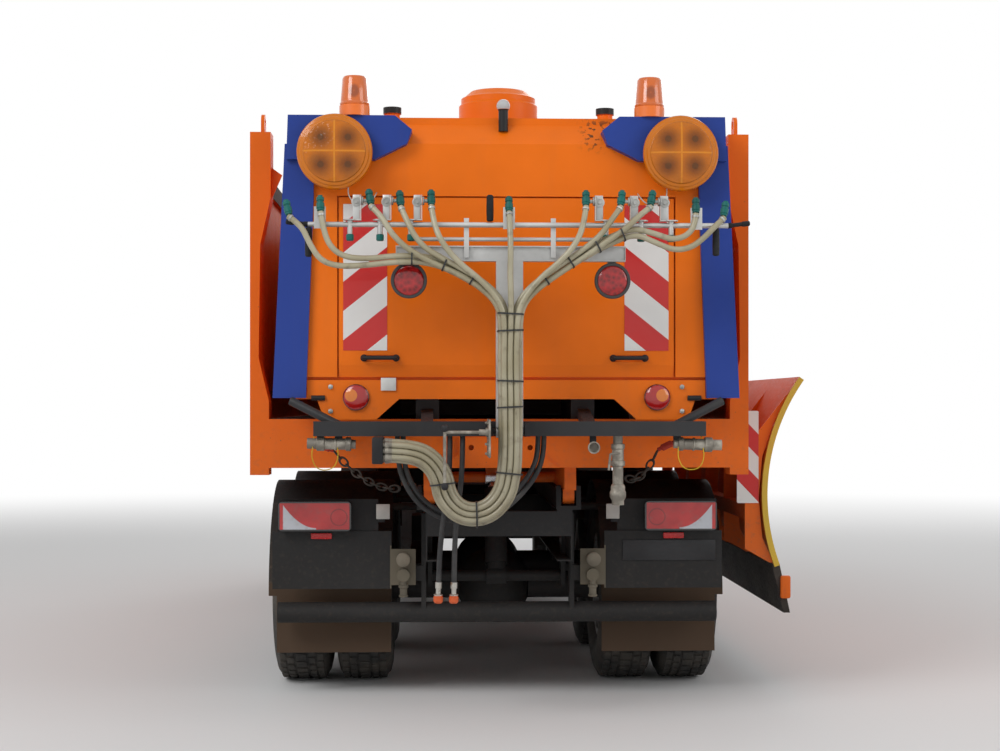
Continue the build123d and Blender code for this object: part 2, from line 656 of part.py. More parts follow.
def make_front_guards():
    """Rear half arches behind the front wheels, each on a stay from the rail."""
    radius = 660
    arc_out = CenterArc((FRONT_AXLE_Y, AXLE_Z), radius + 8, 118, 57)
    arc_in = CenterArc((FRONT_AXLE_Y, AXLE_Z), radius, 118, 57)
    face = make_face([arc_out, Line(arc_out @ 1, arc_in @ 1), arc_in, Line(arc_in @ 0, arc_out @ 0)])
    guard = along_x(face, (860, 1145))
    y = FRONT_AXLE_Y - (radius + 8 + 18) * cos(radians(30))
    z = AXLE_Z + (radius + 8 + 18) * sin(radians(30))
    return both_sides(joined([guard, pin_x((RAIL_OUTER_X, 1140), y, z, 22)]))


def make_mirrors():
    """Wide door mirrors on two arms from each front pillar."""
    x = (1335, 1580)
    head = fillet(block(x, (3930, 4030), (1800, 2440)).edges().filter_by(Axis.Y), 50)
    arms = [bar((CAB_HALF_WIDTH - 10, 3925, z), (1340, 3965, z), 16) for z in (1900, 2330)]
    return both_sides(joined([head] + arms) - cab_body(0))


def make_bed_floor():
    """Bed floor between the walls, its cross bearers, and the two bearers that carry the hinge lugs."""
    half = BED_HALF_WIDTH - SIDE_WALL
    pieces = [block((-half, half), (BED_REAR_Y + 80, BED_FRONT_Y - 60), (BED_FLOOR_Z - FLOOR_THICKNESS, BED_FLOOR_Z))]
    under = SILL_BOTTOM_Z
    count = 9
    pitch = (BED_LENGTH - 400) / (count - 1)
    for index in range(count):
        y = BED_REAR_Y + 180 + index * pitch
        profile = outline([(-half, BED_FLOOR_Z - 110), (-450, under), (450, under), (half, BED_FLOOR_Z - 110),
                           (half, BED_FLOOR_Z - FLOOR_THICKNESS), (-half, BED_FLOOR_Z - FLOOR_THICKNESS)])
        pieces.append(along_y(profile, (y, y + 70)))
    bearer = block((335, 395), (BED_REAR_Y + 80, BED_FRONT_Y - 100), (FRAME_TOP_Z + SUBFRAME_HEIGHT + 8, under))
    lug = along_x(round_lug(TIP_Y, TIP_Z, TIP_LUG_RADIUS, under), (335, 395))
    side = bearer + lug - pin_x((330, 400), TIP_Y, TIP_Z, TIP_PIN_RADIUS + PIN_GAP)
    pieces.append(both_sides(side))
    pieces.append(pin_x((-340, 340), HOIST_TOP[0], HOIST_TOP[1], TIP_PIN_RADIUS))
    corner = block((half - 60, half + 80), (BED_REAR_Y - 1, BED_REAR_Y + POST_DEPTH), (SILL_BOTTOM_Z - 1, BED_FLOOR_Z + 1))
    return joined(pieces) - both_sides(corner)


def make_bed_side():
    """Right side wall: smooth panel between the floor rail and the top rail, ribbed outside."""
    outer = BED_HALF_WIDTH - 4
    y = (BED_REAR_Y + POST_DEPTH, BED_FRONT_Y - 60)
    pieces = [
        block((outer - SIDE_WALL + 4, outer), y, (SILL_BOTTOM_Z, BED_FLOOR_Z)),
        block((outer - 34, outer - 22), y, (BED_FLOOR_Z, SIDE_TOP_Z)),
        block((outer - SIDE_WALL + 4, outer), y, (SIDE_TOP_Z - 90, SIDE_TOP_Z)),
    ]
    count = 7
    pitch = (y[1] - y[0] - 80) / (count - 1)
    for index in range(count):
        rib = y[0] + index * pitch
        face = outline([(outer - 22, rib), (outer, rib + 15), (outer, rib + 65), (outer - 22, rib + 80)])
        pieces.append(along_z(face, (BED_FLOOR_Z, SIDE_TOP_Z - 90)))
    return joined(pieces)


def make_bed_headboard():
    """Front wall of the bed."""
    half = BED_HALF_WIDTH
    pieces = [block((-half, half), (BED_FRONT_Y - 60, BED_FRONT_Y), (SILL_BOTTOM_Z, 2900))]
    for x in (-900, -300, 300, 900):
        pieces.append(block((x - 40, x + 40), (BED_FRONT_Y, BED_FRONT_Y + 40), (BED_FLOOR_Z, 2860)))
    return joined(pieces)


def make_bed_rear():
    """Rear frame of the bed: corner posts with lifting eyes, floor sill and the centre plate."""
    outer = BED_HALF_WIDTH
    post = [(outer, POST_BOTTOM_Z), (outer, POST_TOP_Z), (outer - 105, POST_TOP_Z), (outer - 105, 2640),
            (outer - 52, 2400), (outer - 44, 1820), (outer - 96, 1600), (outer - 96, POST_BOTTOM_Z)]
    pieces = [along_y(outline(post), (BED_REAR_Y, BED_REAR_Y + POST_DEPTH))]
    gusset = outline([(outer - 105, 2800), (outer - 158, 2762), (outer - 105, 2640)])
    pieces.append(along_y(gusset, (BED_REAR_Y + 60, BED_REAR_Y + 72)))
    x = outer - 62
    eye = along_x(round_lug(BED_REAR_Y + 70, POST_TOP_Z + 55, 44, POST_TOP_Z), (x - 9, x + 9))
    eye -= pin_x((x - 20, x + 20), BED_REAR_Y + 70, POST_TOP_Z + 55, 22)
    pieces.append(eye)
    sides = both_sides(joined(pieces))
    half = outer - 96
    sill = block((-half, half), (BED_REAR_Y, BED_REAR_Y + 80), (SILL_BOTTOM_Z, BED_FLOOR_Z))
    plate = outline([(-213, 1416), (207, 1416), (207, 1330), (300, SILL_BOTTOM_Z), (-300, SILL_BOTTOM_Z), (-213, 1330)])
    centre = along_y(plate, (BED_REAR_Y - 20, BED_REAR_Y))
    frame = joined([sides, sill, centre])
    for x in (-151, 151):
        frame -= pin_y(x, (BED_REAR_Y - 30, BED_REAR_Y + 90), 1362, 14)
    return frame


def make_ram(base, tip, pin_axis, barrel_radius, rod_radius, pin_radius, eye_width, slot):
    """Barrel and rod of a ram between two pins. The slot gives the play of the rod's long eye, across and along."""
    run = Vector(*tip) - Vector(*base)
    place = Plane(origin=Vector(*base), z_dir=run, x_dir=Vector(*pin_axis))
    across, beyond = slot
    wall = 16
    head = pin_radius + across + wall
    eye_radius = pin_radius + wall
    floor = eye_radius + 20
    bottom = floor + 14
    length = run.length

    def along(start, end, radius):
        return pin_z(0, 0, (start, end), radius)

    def long_hole(radius, width):
        ends = pin_x(width, 0, length, radius) + pin_x(width, 0, length + beyond, radius)
        return ends + block(width, (-radius, radius), (length, length + beyond))

    mouth = length - head - 20
    neck = min(eye_width / 2 - 1, barrel_radius)
    width = (-eye_width / 2, eye_width / 2)
    cut = (-eye_width, eye_width)
    eye = pin_x(width, 0, 0, eye_radius)
    barrel = joined([eye, along(eye_radius * 0.6, eye_radius + 24, neck), along(floor, mouth, barrel_radius)])
    barrel -= along(bottom, mouth + 1, rod_radius + PIN_GAP)
    barrel -= pin_x(cut, 0, 0, pin_radius + PIN_GAP)
    rod = joined([long_hole(head, width), along(bottom + SEAT_GAP, length - head * 0.8, rod_radius)])
    rod -= long_hole(pin_radius + across, cut)
    return place * barrel, place * rod


def unit_shape(x0, x1, y0, y1, z0, z1):
    """Box of the tank unit, measured from the unit's own middle."""
    return block((UNIT_X + x0, UNIT_X + x1), (y0, y1), (z0, z1))


def make_housing():
    """Rear housing of the tank unit: upright back, sloping facet and top rail, recessed for the hatch."""
    y = UNIT_REAR_Y
    side = outline([(y, UNIT_BASE_Z + 110), (y, 2889), (y + 95, 2999), (y + 95, UNIT_TOP_Z), (y + 150, UNIT_TOP_Z),
                    (y + HOUSING_LENGTH, UNIT_TOP_Z), (y + HOUSING_LENGTH, UNIT_BASE_Z), (y + 40, UNIT_BASE_Z),
                    (y + 40, UNIT_BASE_Z + 110)])
    body = along_x(side, (UNIT_X - UNIT_HALF_WIDTH, UNIT_X + UNIT_HALF_WIDTH))
    body -= unit_shape(-849, 849, y - 1, y + 34, 1712, 2626)
    return joined([body, make_lower_panel()])


def make_hatch():
    """Wide rear hatch of the housing, with its lower edge creased."""
    y = UNIT_REAR_Y
    side = outline([(y + 4, 1781), (y + 4, 2618), (y + 34, 2618), (y + 34, 1720), (y + 16, 1720)])
    hatch = along_x(side, (UNIT_X - 841, UNIT_X + 841))
    for x in (-635, 615):
        hatch -= unit_shape(x - 80, x + 80, y, y + 20, 1797, 1830)
    return hatch


def make_lower_panel():
    """Lower rear panel with a lobe at each end for the round lamps."""
    y = UNIT_REAR_Y
    half = 1000
    points = [(-half, 1705), (half, 1705), (half, 1610)]
    for side in (1, -1):
        lobe = [(side * 950, 1610), (side * 915, 1507), (side * 655, 1507), (side * 540, 1610)]
        points += lobe if side == 1 else lobe[::-1]
    points.append((-half, 1610))
    plate = along_y(outline([(UNIT_X + x, z) for x, z in points]), (y + 4, y + 41))
    for x in (-755, 756):
        plate -= pin_y(UNIT_X + x, (y, y + 20), 1618, 66)
    return plate


def make_round_lamps():
    """Round lamps in the lower panel."""
    y = UNIT_REAR_Y
    return Part() + [pin_y(UNIT_X + x, (y - 14, y + 20), 1618, 65.7) for x in (-755, 756)]


def make_columns():
    """Blue corner columns beside the housing, and the lamp arms above them."""
    y = UNIT_REAR_Y
    column = outline([(1108, 2880), (1168, 1615), (1003, 1615), (965, 2619), (965, 2880)])
    arm = outline([(1090, 3020), (560, 3020), (475, 2950), (500, 2880), (660, 2800), (1098, 2800)])
    pieces = []
    for side in (1, -1):
        shape = joined([along_y(column, (y - 30, y)), along_y(arm, (y - 60, y + 100))])
        if side == -1:
            shape = mirror(shape, Plane.YZ)
        pieces.append(Pos(UNIT_X, 0, 0) * shape)
    return joined(pieces) - make_housing()


def make_amber_lamps():
    """Two large amber warning lamps on the arms."""
    y = UNIT_REAR_Y - 60
    return Part() + [joined([pin_y(UNIT_X + x, (y - 75, y - 20), 2830, 187), pin_y(UNIT_X + x, (y - 20, y), 2830, 120)])
                     for x in (-855, 860)]


def make_beacons():
    """Two rotating beacons on the lamp arms."""
    y = UNIT_REAR_Y - 5
    lamps = []
    for x in (-762, 716):
        section = outline([(0, 3020), (76, 3020), (76, 3075), (70, 3080), (60, 3215), (0, 3222)])
        lamps.append(Pos(UNIT_X + x, y, 0) * revolve(Plane.XZ * section, Axis.Z))
    return Part() + lamps


def make_boards():
    """Two striped marker boards on the hatch."""
    y = UNIT_REAR_Y
    return Part() + [block(x, (y + 1, y + 4), (1853, 2585)) for x in ((-794, -575), (617, 839))]


def make_tank():
    """Tank behind the housing, with rounded shoulders and raised hoops."""
    y0 = UNIT_REAR_Y + HOUSING_LENGTH
    half = UNIT_HALF_WIDTH - 40
    section = outline([(-half, UNIT_BASE_Z), (half, UNIT_BASE_Z), (half, 2760), (half - 260, 3010), (-half + 260, 3010),
                       (-half, 2760)], 60)
    body = along_y(Pos(UNIT_X, 0, 0) * section, (y0, y0 + TANK_LENGTH))
    return body


def make_lid():
    """Stepped screw lid of the tank's filling dome."""
    y = BED_REAR_Y + 480
    top = UNIT_TOP_Z
    section = outline([(0, top), (212, top), (212, 3190), (200, 3200), (200, 3230), (182, 3240), (150, 3268), (0, 3275)])
    return Pos(4, y, 0) * revolve(Plane.XZ * section, Axis.Z)


def make_roof_caps():
    """Small filler caps on the housing roof."""
    y = BED_REAR_Y + 100
    caps = []
    for x in (-557, 546):
        caps.append(joined([pin_z(x, y, (UNIT_TOP_Z, 3085), 40), pin_z(x, y, (3085, 3118), 47)]))
    return Part() + caps


def make_camera():
    """Rear view camera on a foot at the roof edge."""
    y = UNIT_REAR_Y + 62
    foot = joined([pin_z(9, y, (2961, 3070), 24), Pos(9, y, 3090) * Sphere(34)])
    return foot - make_housing()


def make_base_frame():
    """Dark base frame of the unit: skids on the bed floor, the rear beam and its end struts."""
    y = UNIT_REAR_Y
    pieces = []
    for x in (-700, 700):
        pieces.append(unit_shape(x - 60, x + 60, y + 42, y + HOUSING_LENGTH + TANK_LENGTH, 1550, UNIT_BASE_Z))
        pieces.append(unit_shape(x - 60, x + 60, BED_REAR_Y + 30, y + HOUSING_LENGTH + TANK_LENGTH, BED_FLOOR_Z, 1550))
    beam_y = (BED_REAR_Y - 450, BED_REAR_Y - 350)
    pieces.append(unit_shape(-950, 965, beam_y[0], beam_y[1], 1428, 1500))
    for x in (-400, 400):
        arm = outline([(beam_y[1], 1428), (beam_y[1], 1500), (BED_REAR_Y - 20, 1560), (BED_REAR_Y + 60, 1560),
                       (BED_REAR_Y + 60, 1512), (BED_REAR_Y - 20, 1512)])
        pieces.append(along_x(arm, (UNIT_X + x - 30, UNIT_X + x + 30)))
        pieces.append(unit_shape(x - 60, x + 60, BED_REAR_Y + 30, y + HOUSING_LENGTH, BED_FLOOR_Z, UNIT_BASE_Z))
    for side in (-1, 1):
        outer = UNIT_X + side * 1075
        inner = UNIT_X + side * 800
        strut = bar((outer, BED_REAR_Y - 250, 1600), (inner, beam_y[1] + 4, 1464), 22)
        pieces.append(strut)
    for x in (-70, 110):
        pieces.append(block((x - 12, x + 12), (BOOM_Y - 40, beam_y[0]), (1428, 1490)))
    pin = pin_x((-82, 122), BOOM_Y, BOOM_HINGE_Z, 15)
    return joined(pieces + [pin])


def make_mast():
    """Boom mast: square tube from the foot hinge up to the lamp channel."""
    x = 20
    pieces = [
        block((x - 60, x + 70), (BOOM_Y - 40, BOOM_Y + 30), (BOOM_HINGE_Z + 20, 2274)),
        block((x - 60, x + 70), (BOOM_Y - 20, BOOM_Y + 20), (BOOM_HINGE_Z - 18, BOOM_HINGE_Z + 22)),
        pin_x((x - 60, x + 70), BOOM_Y, BOOM_HINGE_Z, 30),
    ]
    mast = joined(pieces) - pin_x((-100, 150), BOOM_Y, BOOM_HINGE_Z, 15 + PIN_GAP)
    channel = block((-523, 587), (BOOM_Y - 25, BOOM_Y + 25), (2274, 2348))
    channel -= block((-520, 584), (BOOM_Y - 26, BOOM_Y - 8), (2280, 2342))
    return mast + channel


def make_spray_bar():
    """Spray tube, its two struts and the nozzle brackets."""
    y = BOOM_Y - 50
    pieces = [pin_x((-943, 1081), y, SPRAY_TUBE_Z, SPRAY_TUBE_RADIUS)]
    pieces.append(pin_x((-450, 520), BOOM_Y - 14, 2380, 10))
    for x in (-183, 236):
        pieces.append(block((x - 12, x + 12), (BOOM_Y - 37, BOOM_Y - 25), (2290, 2480)))
        pieces.append(block((x - 12, x + 12), (BOOM_Y - 25, BOOM_Y - 4), (2370, 2390)))
    for disc, side in ((-742, 1), (-598, 1), (-450, 1), (489, -1), (659, -1), (804, -1)):
        pieces.append(pin_z(disc, y, (2466, 2470), 34))
        pieces.append(pin_z(disc, y, (2400, 2466), 13))
        plate_x = disc + side * 52
        pieces.append(block(sorted((disc, plate_x)), (y - 20, y + 20), (2466, 2470)))
        pieces.append(block((plate_x - 2, plate_x + 2), (y - 20, y + 20), (2466, 2560)))
        pieces.append(pin_x((plate_x - 2, plate_x + 2), y, 2560, 30))
    for x in (-885, 21, 925):
        pieces.append(block((x - 28, x + 28), (y - 16, y - 12), (2425, 2530)))
    return joined(pieces)


def make_nozzles():
    """Nozzle bodies on the brackets."""
    y = BOOM_Y - 50
    solids = []
    for disc, side in ((-742, 1), (-598, 1), (-450, 1), (489, -1), (659, -1), (804, -1)):
        plate_x = disc + side * 54
        solids.append(block(sorted((plate_x, plate_x + side * 36)), (y - 22, y + 14), (2535, 2585)))
        outer = disc + side * 50
        solids.append(pin_x(sorted((outer, outer - side * 26)), y, 2560, 12))
    for x in (-885, 21, 925):
        solids.append(block((x - 22, x + 22), (y - 50, y - 16), (2530, 2575)))
    return Part() + solids


def make_boom_lamps():
    """Two round red lamps under the lamp channel."""
    y = BOOM_Y - 25
    pieces = []
    for x in (-460, 523):
        pieces.append(pin_y(x, (y - 30, y + 20), 2180, 86))
        pieces.append(block((x - 20, x + 20), (y + 4, y + 20), (2180, 2274)))
    return joined(pieces)


def arc_band(points, thickness, y):
    """Curved sheet through three (X, Z) points, its thickness towards the truck."""
    top, middle, foot = [Vector(*point) for point in points]
    face_arc = ThreePointArc(tuple(top), tuple(middle), tuple(foot))
    centre = face_arc.arc_center
    radius = face_arc.radius
    moved = []
    for point in (top, middle, foot):
        away = (point - Vector(centre.X, centre.Y)).normalized()
        moved.append(Vector(centre.X, centre.Y) + away * (radius + thickness))
    back_arc = ThreePointArc(tuple(moved[2]), tuple(moved[1]), tuple(moved[0]))
    face = make_face([face_arc, Line(face_arc @ 1, back_arc @ 0), back_arc, Line(back_arc @ 1, face_arc @ 0)])
    return along_y(face, y)


def make_mouldboard():
    """Wing plough's curved mouldboard with its ribs, two back beams and hinge lugs."""
    y = (PLOUGH_REAR_Y + 20, PLOUGH_FRONT_Y)
    sheet = arc_band((PLOUGH_TOP, PLOUGH_MIDDLE, PLOUGH_FOOT), PLOUGH_SHEET, y)
    pieces = [sheet]
    rib = [(1615, 1690), (1420, 1440), (1345, 1380), (1345, 800), (1478, 724), (1500, 724), (1440, 860), (1420, 1075),
           (1440, 1300), (1500, 1480), (1630, 1700)]
    for index in range(6):
        station = y[0] + index * (PLOUGH_LENGTH - 32) / 5
        pieces.append(along_y(outline(rib), (station, station + 12)))
    for z in (1000, 1330):
        pieces.append(block((1345, 1425), y, (z - 40, z + 40)))
    y0 = WING_PIVOT_Y
    inner = WING_PIVOT_X
    for z in (WING_EAR_Z[0] + EAR_THICKNESS + MOVING_GAP + 1, WING_EAR_Z[1] - EAR_THICKNESS - MOVING_GAP - 1):
        lug = outline([(inner - 40, y0 + 10), (inner - 28, y0 + 30), (inner, y0 + 40), (1330, y0 + 40), (1460, y0 - 30),
                       (1460, y0 - 110), (1320, y0 - 110), (inner, y0 - 40), (inner - 40, y0 - 10)])
        pieces.append(along_z(lug, (z, z + EAR_THICKNESS)))
    tip_x, tip_y = BRACE_TIP
    for z in (BRACE_Z - 30, BRACE_Z + 18):
        pieces.append(block((tip_x - 26, 1460), (tip_y - 26, tip_y + 26), (z, z + 12)))
    pieces.append(pin_z(tip_x, tip_y, (BRACE_Z - 30, BRACE_Z + 30), 15))
    wing = joined(pieces)
    wing -= pin_z(WING_PIVOT_X, WING_PIVOT_Y, (700, 1200), WING_PIN_RADIUS + PIN_GAP)
    return wing


def make_blade():
    """Dark cutting blade below the mouldboard."""
    y = (PLOUGH_REAR_Y + 20, PLOUGH_FRONT_Y)
    foot = Vector(*PLOUGH_FOOT)
    tip = Vector(*PLOUGH_TIP)
    face = outline([(foot.X - 40, foot.Y + 5), (foot.X + 1, foot.Y + 5), (tip.X + 10, tip.Y), (tip.X - 25, tip.Y)])
    return along_y(face, y) - arc_band((PLOUGH_TOP, PLOUGH_MIDDLE, PLOUGH_FOOT), PLOUGH_SHEET, y)


def make_edge_strip():
    """Yellow edge strip on the mouldboard's rear end."""
    return arc_band((PLOUGH_TOP, PLOUGH_MIDDLE, PLOUGH_FOOT), PLOUGH_SHEET, (PLOUGH_REAR_Y, PLOUGH_REAR_Y + 20))


def make_plough_board():
    """Marker board across the rear end of the plough's back."""
    y = PLOUGH_REAR_Y
    return block((1300, 1418), (y + 12, y + 20), (1048, 1548))


def make_wing_mast():
    """Upright slide mast on two beams from the right rail, with the lift ram's barrel beside it."""
    y = WING_PIVOT_Y
    outer = MAST_OUTER_X
    pieces = [
        block((RAIL_OUTER_X, RAIL_OUTER_X + 25), (y - 120, y + 140), (480, FRAME_TOP_Z - 20)),
        block((outer - 60, outer - 20), (y - 20, y + 20), (MAST_FOOT_Z, MAST_TOP_Z)),
        block((outer - 20, outer), (y - 90, y + 90), (MAST_FOOT_Z, MAST_TOP_Z)),
    ]
    for z in (540, 860):
        pieces.append(block((RAIL_OUTER_X + 25, outer - 60), (y - 40, y + 40), (z, z + 90)))
    ram_y = y + 150
    pieces.append(block((outer - 60, outer + 40), (y + 20, ram_y + 40), (MAST_FOOT_Z, MAST_FOOT_Z + 14)))
    barrel = pin_z(outer, ram_y, (MAST_FOOT_Z, MAST_FOOT_Z + 500), 35)
    barrel -= pin_z(outer, ram_y, (MAST_FOOT_Z + 20, MAST_FOOT_Z + 501), 18 + PIN_GAP)
    pieces.append(barrel)
    return joined(pieces)


def make_carrier():
    """Carriage that slides on the mast, with the wing's vertical hinge pin, the lift rod and the brace's pin."""
    y = WING_PIVOT_Y
    face = MAST_OUTER_X + SLIDE_GAP
    back = MAST_OUTER_X - 20 - SLIDE_GAP
    low = WING_EAR_Z[0] - 10
    high = WING_EAR_Z[1] + EAR_THICKNESS + 10
    flange = 90 + SLIDE_GAP
    pieces = [
        block((face, MAST_OUTER_X + 28), (y - flange - 14, y + flange + 14), (low, high)),
        block((back - 14, face + 1), (y + flange, y + flange + 14), (low, high)),
        block((back - 14, face + 1), (y - flange - 14, y - flange), (low, high)),
        block((back - 14, back), (y + 50, y + flange + 1), (low, high)),
        block((back - 14, back), (y - flange - 1, y - 50), (low, high)),
    ]
    for z in WING_EAR_Z:
        pieces.append(block((face + 20, WING_PIVOT_X), (y - 40, y + 40), (z, z + EAR_THICKNESS)))
        pieces.append(pin_z(WING_PIVOT_X, y, (z, z + EAR_THICKNESS), 40))
    pieces.append(pin_z(WING_PIVOT_X, y, (WING_EAR_Z[0], WING_EAR_Z[1] + EAR_THICKNESS), WING_PIN_RADIUS))
    ram_y = y + 150
    lug_z = (MAST_FOOT_Z + 500 + LIFT_TRAVEL + MOVING_GAP, MAST_TOP_Z + 20)
    pieces.append(pin_z(MAST_OUTER_X, ram_y, (MAST_FOOT_Z + LIFT_TRAVEL + 24, lug_z[1]), 18))
    pieces.append(block((face, MAST_OUTER_X + 28), (y + flange - 14, y + flange + 14), (high - 1, lug_z[1])))
    lug = outline([(face, y + flange), (MAST_OUTER_X + 28, y + flange), (MAST_OUTER_X + 28, ram_y + 30),
                   (MAST_OUTER_X - 28, ram_y + 30), (MAST_OUTER_X - 28, y + flange + 12), (face, y + flange + 12)])
    pieces.append(along_z(lug, lug_z))
    base_x, base_y = BRACE_BASE
    for z in (BRACE_Z - 30, BRACE_Z + 18):
        tongue = outline([(face, y - flange), (MAST_OUTER_X + 28, y - flange), (base_x + 26, base_y), (base_x + 10, base_y - 26),
                          (base_x - 24, base_y - 20), (face, base_y + 50)])
        pieces.append(along_z(tongue, (z, z + 12)))
    pieces.append(pin_z(base_x, base_y, (BRACE_Z - 30, BRACE_Z + 30), 15))
    return joined(pieces)


def main():
    os.makedirs("parts", exist_ok=True)
    save("chassis_frame", make_frame())
    save("powertrain", make_powertrain())
    save("front_axle", make_front_axle())
    save("driven_axles", make_driven_axles())
    save("leaf_springs", make_springs())
    save("mudguards", make_mudguards())
    save("rear_carrier", make_rear_carrier())
    save("tail_lamps", make_tail_lamps())
    save("fuel_tank", make_fuel_tank())
    save("side_boxes", Part() + [make_battery_box(), make_silencer()])

    knuckle = make_knuckle()
    save("knuckle_right", knuckle)
    save("knuckle_left", mirror(knuckle, Plane.YZ))
    front = make_front_wheel()
    twin = make_twin_wheel()
    for name, y, track, shapes in (("front", FRONT_AXLE_Y, FRONT_TRACK, front), ("mid", MID_AXLE_Y, REAR_TRACK, twin),
                                   ("rear", REAR_AXLE_Y, REAR_TRACK, twin)):
        rims, rubber = shapes
        save(f"rims_{name}_right", Pos(track / 2, y, AXLE_Z) * rims)
        save(f"rims_{name}_left", Pos(-track / 2, y, AXLE_Z) * Rot(0, 0, 180) * rims)
        save(f"tyres_{name}_right", Pos(track / 2, y, AXLE_Z) * rubber)
        save(f"tyres_{name}_left", Pos(-track / 2, y, AXLE_Z) * Rot(0, 0, 180) * rubber)

    shell, pane, door, glass = make_cab()
    save("cab_shell", shell)
    save("windscreen", pane)
    save("door_right", door)
    save("door_left", mirror(door, Plane.YZ))
    save("door_glass_right", glass)
    save("door_glass_left", mirror(glass, Plane.YZ))
    dashboard, seats = make_cab_interior()
    save("dashboard", dashboard)
    save("seats", seats)
    save("front_trim", Part() + [make_grille(), make_bumper(), make_steps()])
    save("headlamps", make_headlamps())
    save("mirrors", make_mirrors())

    save("bed_body", make_bed_floor())
    save("bed_walls", joined([both_sides(make_bed_side()), make_bed_headboard()]))
    save("bed_rear_frame", make_bed_rear())
    hoist = make_ram((0, *HOIST_BASE), (0, *HOIST_TOP), (1, 0, 0), 62, 42, TIP_PIN_RADIUS, 110, HOIST_SLOT)
    save("hoist_barrel", hoist[0])
    save("hoist_rod", hoist[1])

    save("unit_housing", make_housing())
    save("unit_hatch", make_hatch())
    save("unit_columns", make_columns())
    save("unit_lamps", Part() + [make_amber_lamps(), make_beacons(), make_round_lamps()])
    save("marker_boards", make_boards())
    save("tank", make_tank())
    save("roof_fittings", Part() + [make_lid(), make_roof_caps(), make_camera()])
    save("unit_base_frame", make_base_frame())

    save("boom_mast", make_mast())
    save("spray_bar", make_spray_bar())
    save("boom_fittings", Part() + [make_nozzles(), make_boom_lamps()])

    save("wing_mast", make_wing_mast())
    save("wing_carrier", make_carrier())
    save("mouldboard", make_mouldboard())
    save("plough_blade", make_blade())
    save("plough_markers", Part() + [make_edge_strip(), make_plough_board()])
    brace = make_ram((*BRACE_BASE, BRACE_Z), (*BRACE_TIP, BRACE_Z), (0, 0, 1), 36, 16, 15, 34, BRACE_SLOT)
    save("brace_barrel", brace[0])
    save("brace_rod", brace[1])


main()
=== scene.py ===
import math

import bpy
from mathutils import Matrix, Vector


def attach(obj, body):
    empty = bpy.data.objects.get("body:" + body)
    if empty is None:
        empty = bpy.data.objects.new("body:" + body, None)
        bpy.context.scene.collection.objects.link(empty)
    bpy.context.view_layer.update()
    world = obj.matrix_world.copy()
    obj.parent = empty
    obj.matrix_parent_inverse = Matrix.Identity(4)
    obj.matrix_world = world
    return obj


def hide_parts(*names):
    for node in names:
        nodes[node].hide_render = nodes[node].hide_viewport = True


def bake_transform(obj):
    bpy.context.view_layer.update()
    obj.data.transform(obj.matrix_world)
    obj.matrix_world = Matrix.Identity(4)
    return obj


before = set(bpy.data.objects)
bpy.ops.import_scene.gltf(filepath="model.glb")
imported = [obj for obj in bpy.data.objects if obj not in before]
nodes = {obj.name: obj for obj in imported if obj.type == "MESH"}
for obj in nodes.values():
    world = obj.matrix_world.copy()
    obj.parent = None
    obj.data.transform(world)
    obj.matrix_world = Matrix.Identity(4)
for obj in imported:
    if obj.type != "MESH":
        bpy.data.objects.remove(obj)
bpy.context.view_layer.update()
scene = bpy.context.scene
scene.view_settings.view_transform = "Standard"

# The photographer's place
# A person with a short telephoto lens stands nearly nine metres behind the bed's posts, at eye height, a
# little left of the middle. The lens is lifted slightly, so that the uprights stay upright.
PHOTO_WIDTH = 1000
FOCAL_PIXELS = 1716
POST_Y = -3.56
view = bpy.data.cameras.new("view")
view.sensor_width = 36
view.lens = view.sensor_width * FOCAL_PIXELS / PHOTO_WIDTH
view.shift_y = 29.5 / PHOTO_WIDTH
view.clip_end = 200
camera = bpy.data.objects.new("view", view)
camera.location = (-0.31, POST_Y - 8.8, 1.58)
camera.rotation_euler = (math.radians(90), 0, math.radians(-2))
scene.collection.objects.link(camera)
scene.camera = camera


class Value:
    """Something that changes over a surface. Arithmetic on it adds the Math nodes."""

    def __init__(self, surface, socket):
        self.surface = surface
        self.socket = socket

    def maths(self, operation, first, second):
        return self.surface.node("ShaderNodeMath", {"operation": operation}, {0: first, 1: second})

    def __add__(self, other):
        return self.maths("ADD", self, other)

    def __radd__(self, other):
        return self.maths("ADD", other, self)

    def __sub__(self, other):
        return self.maths("SUBTRACT", self, other)

    def __rsub__(self, other):
        return self.maths("SUBTRACT", other, self)

    def __mul__(self, other):
        return self.maths("MULTIPLY", self, other)

    def __rmul__(self, other):
        return self.maths("MULTIPLY", other, self)

    def __abs__(self):
        return self.maths("ABSOLUTE", self, 0)

    def wrap(self, period):
        return self.surface.node("ShaderNodeMath", {"operation": "WRAP"}, {0: self, 1: period, 2: 0})

    def ripple(self, period):
        """Rises from 0 to half the period and falls back, over and over."""
        return abs(self.wrap(period) - period / 2)

    def least(self, other):
        return self.maths("MINIMUM", self, other)


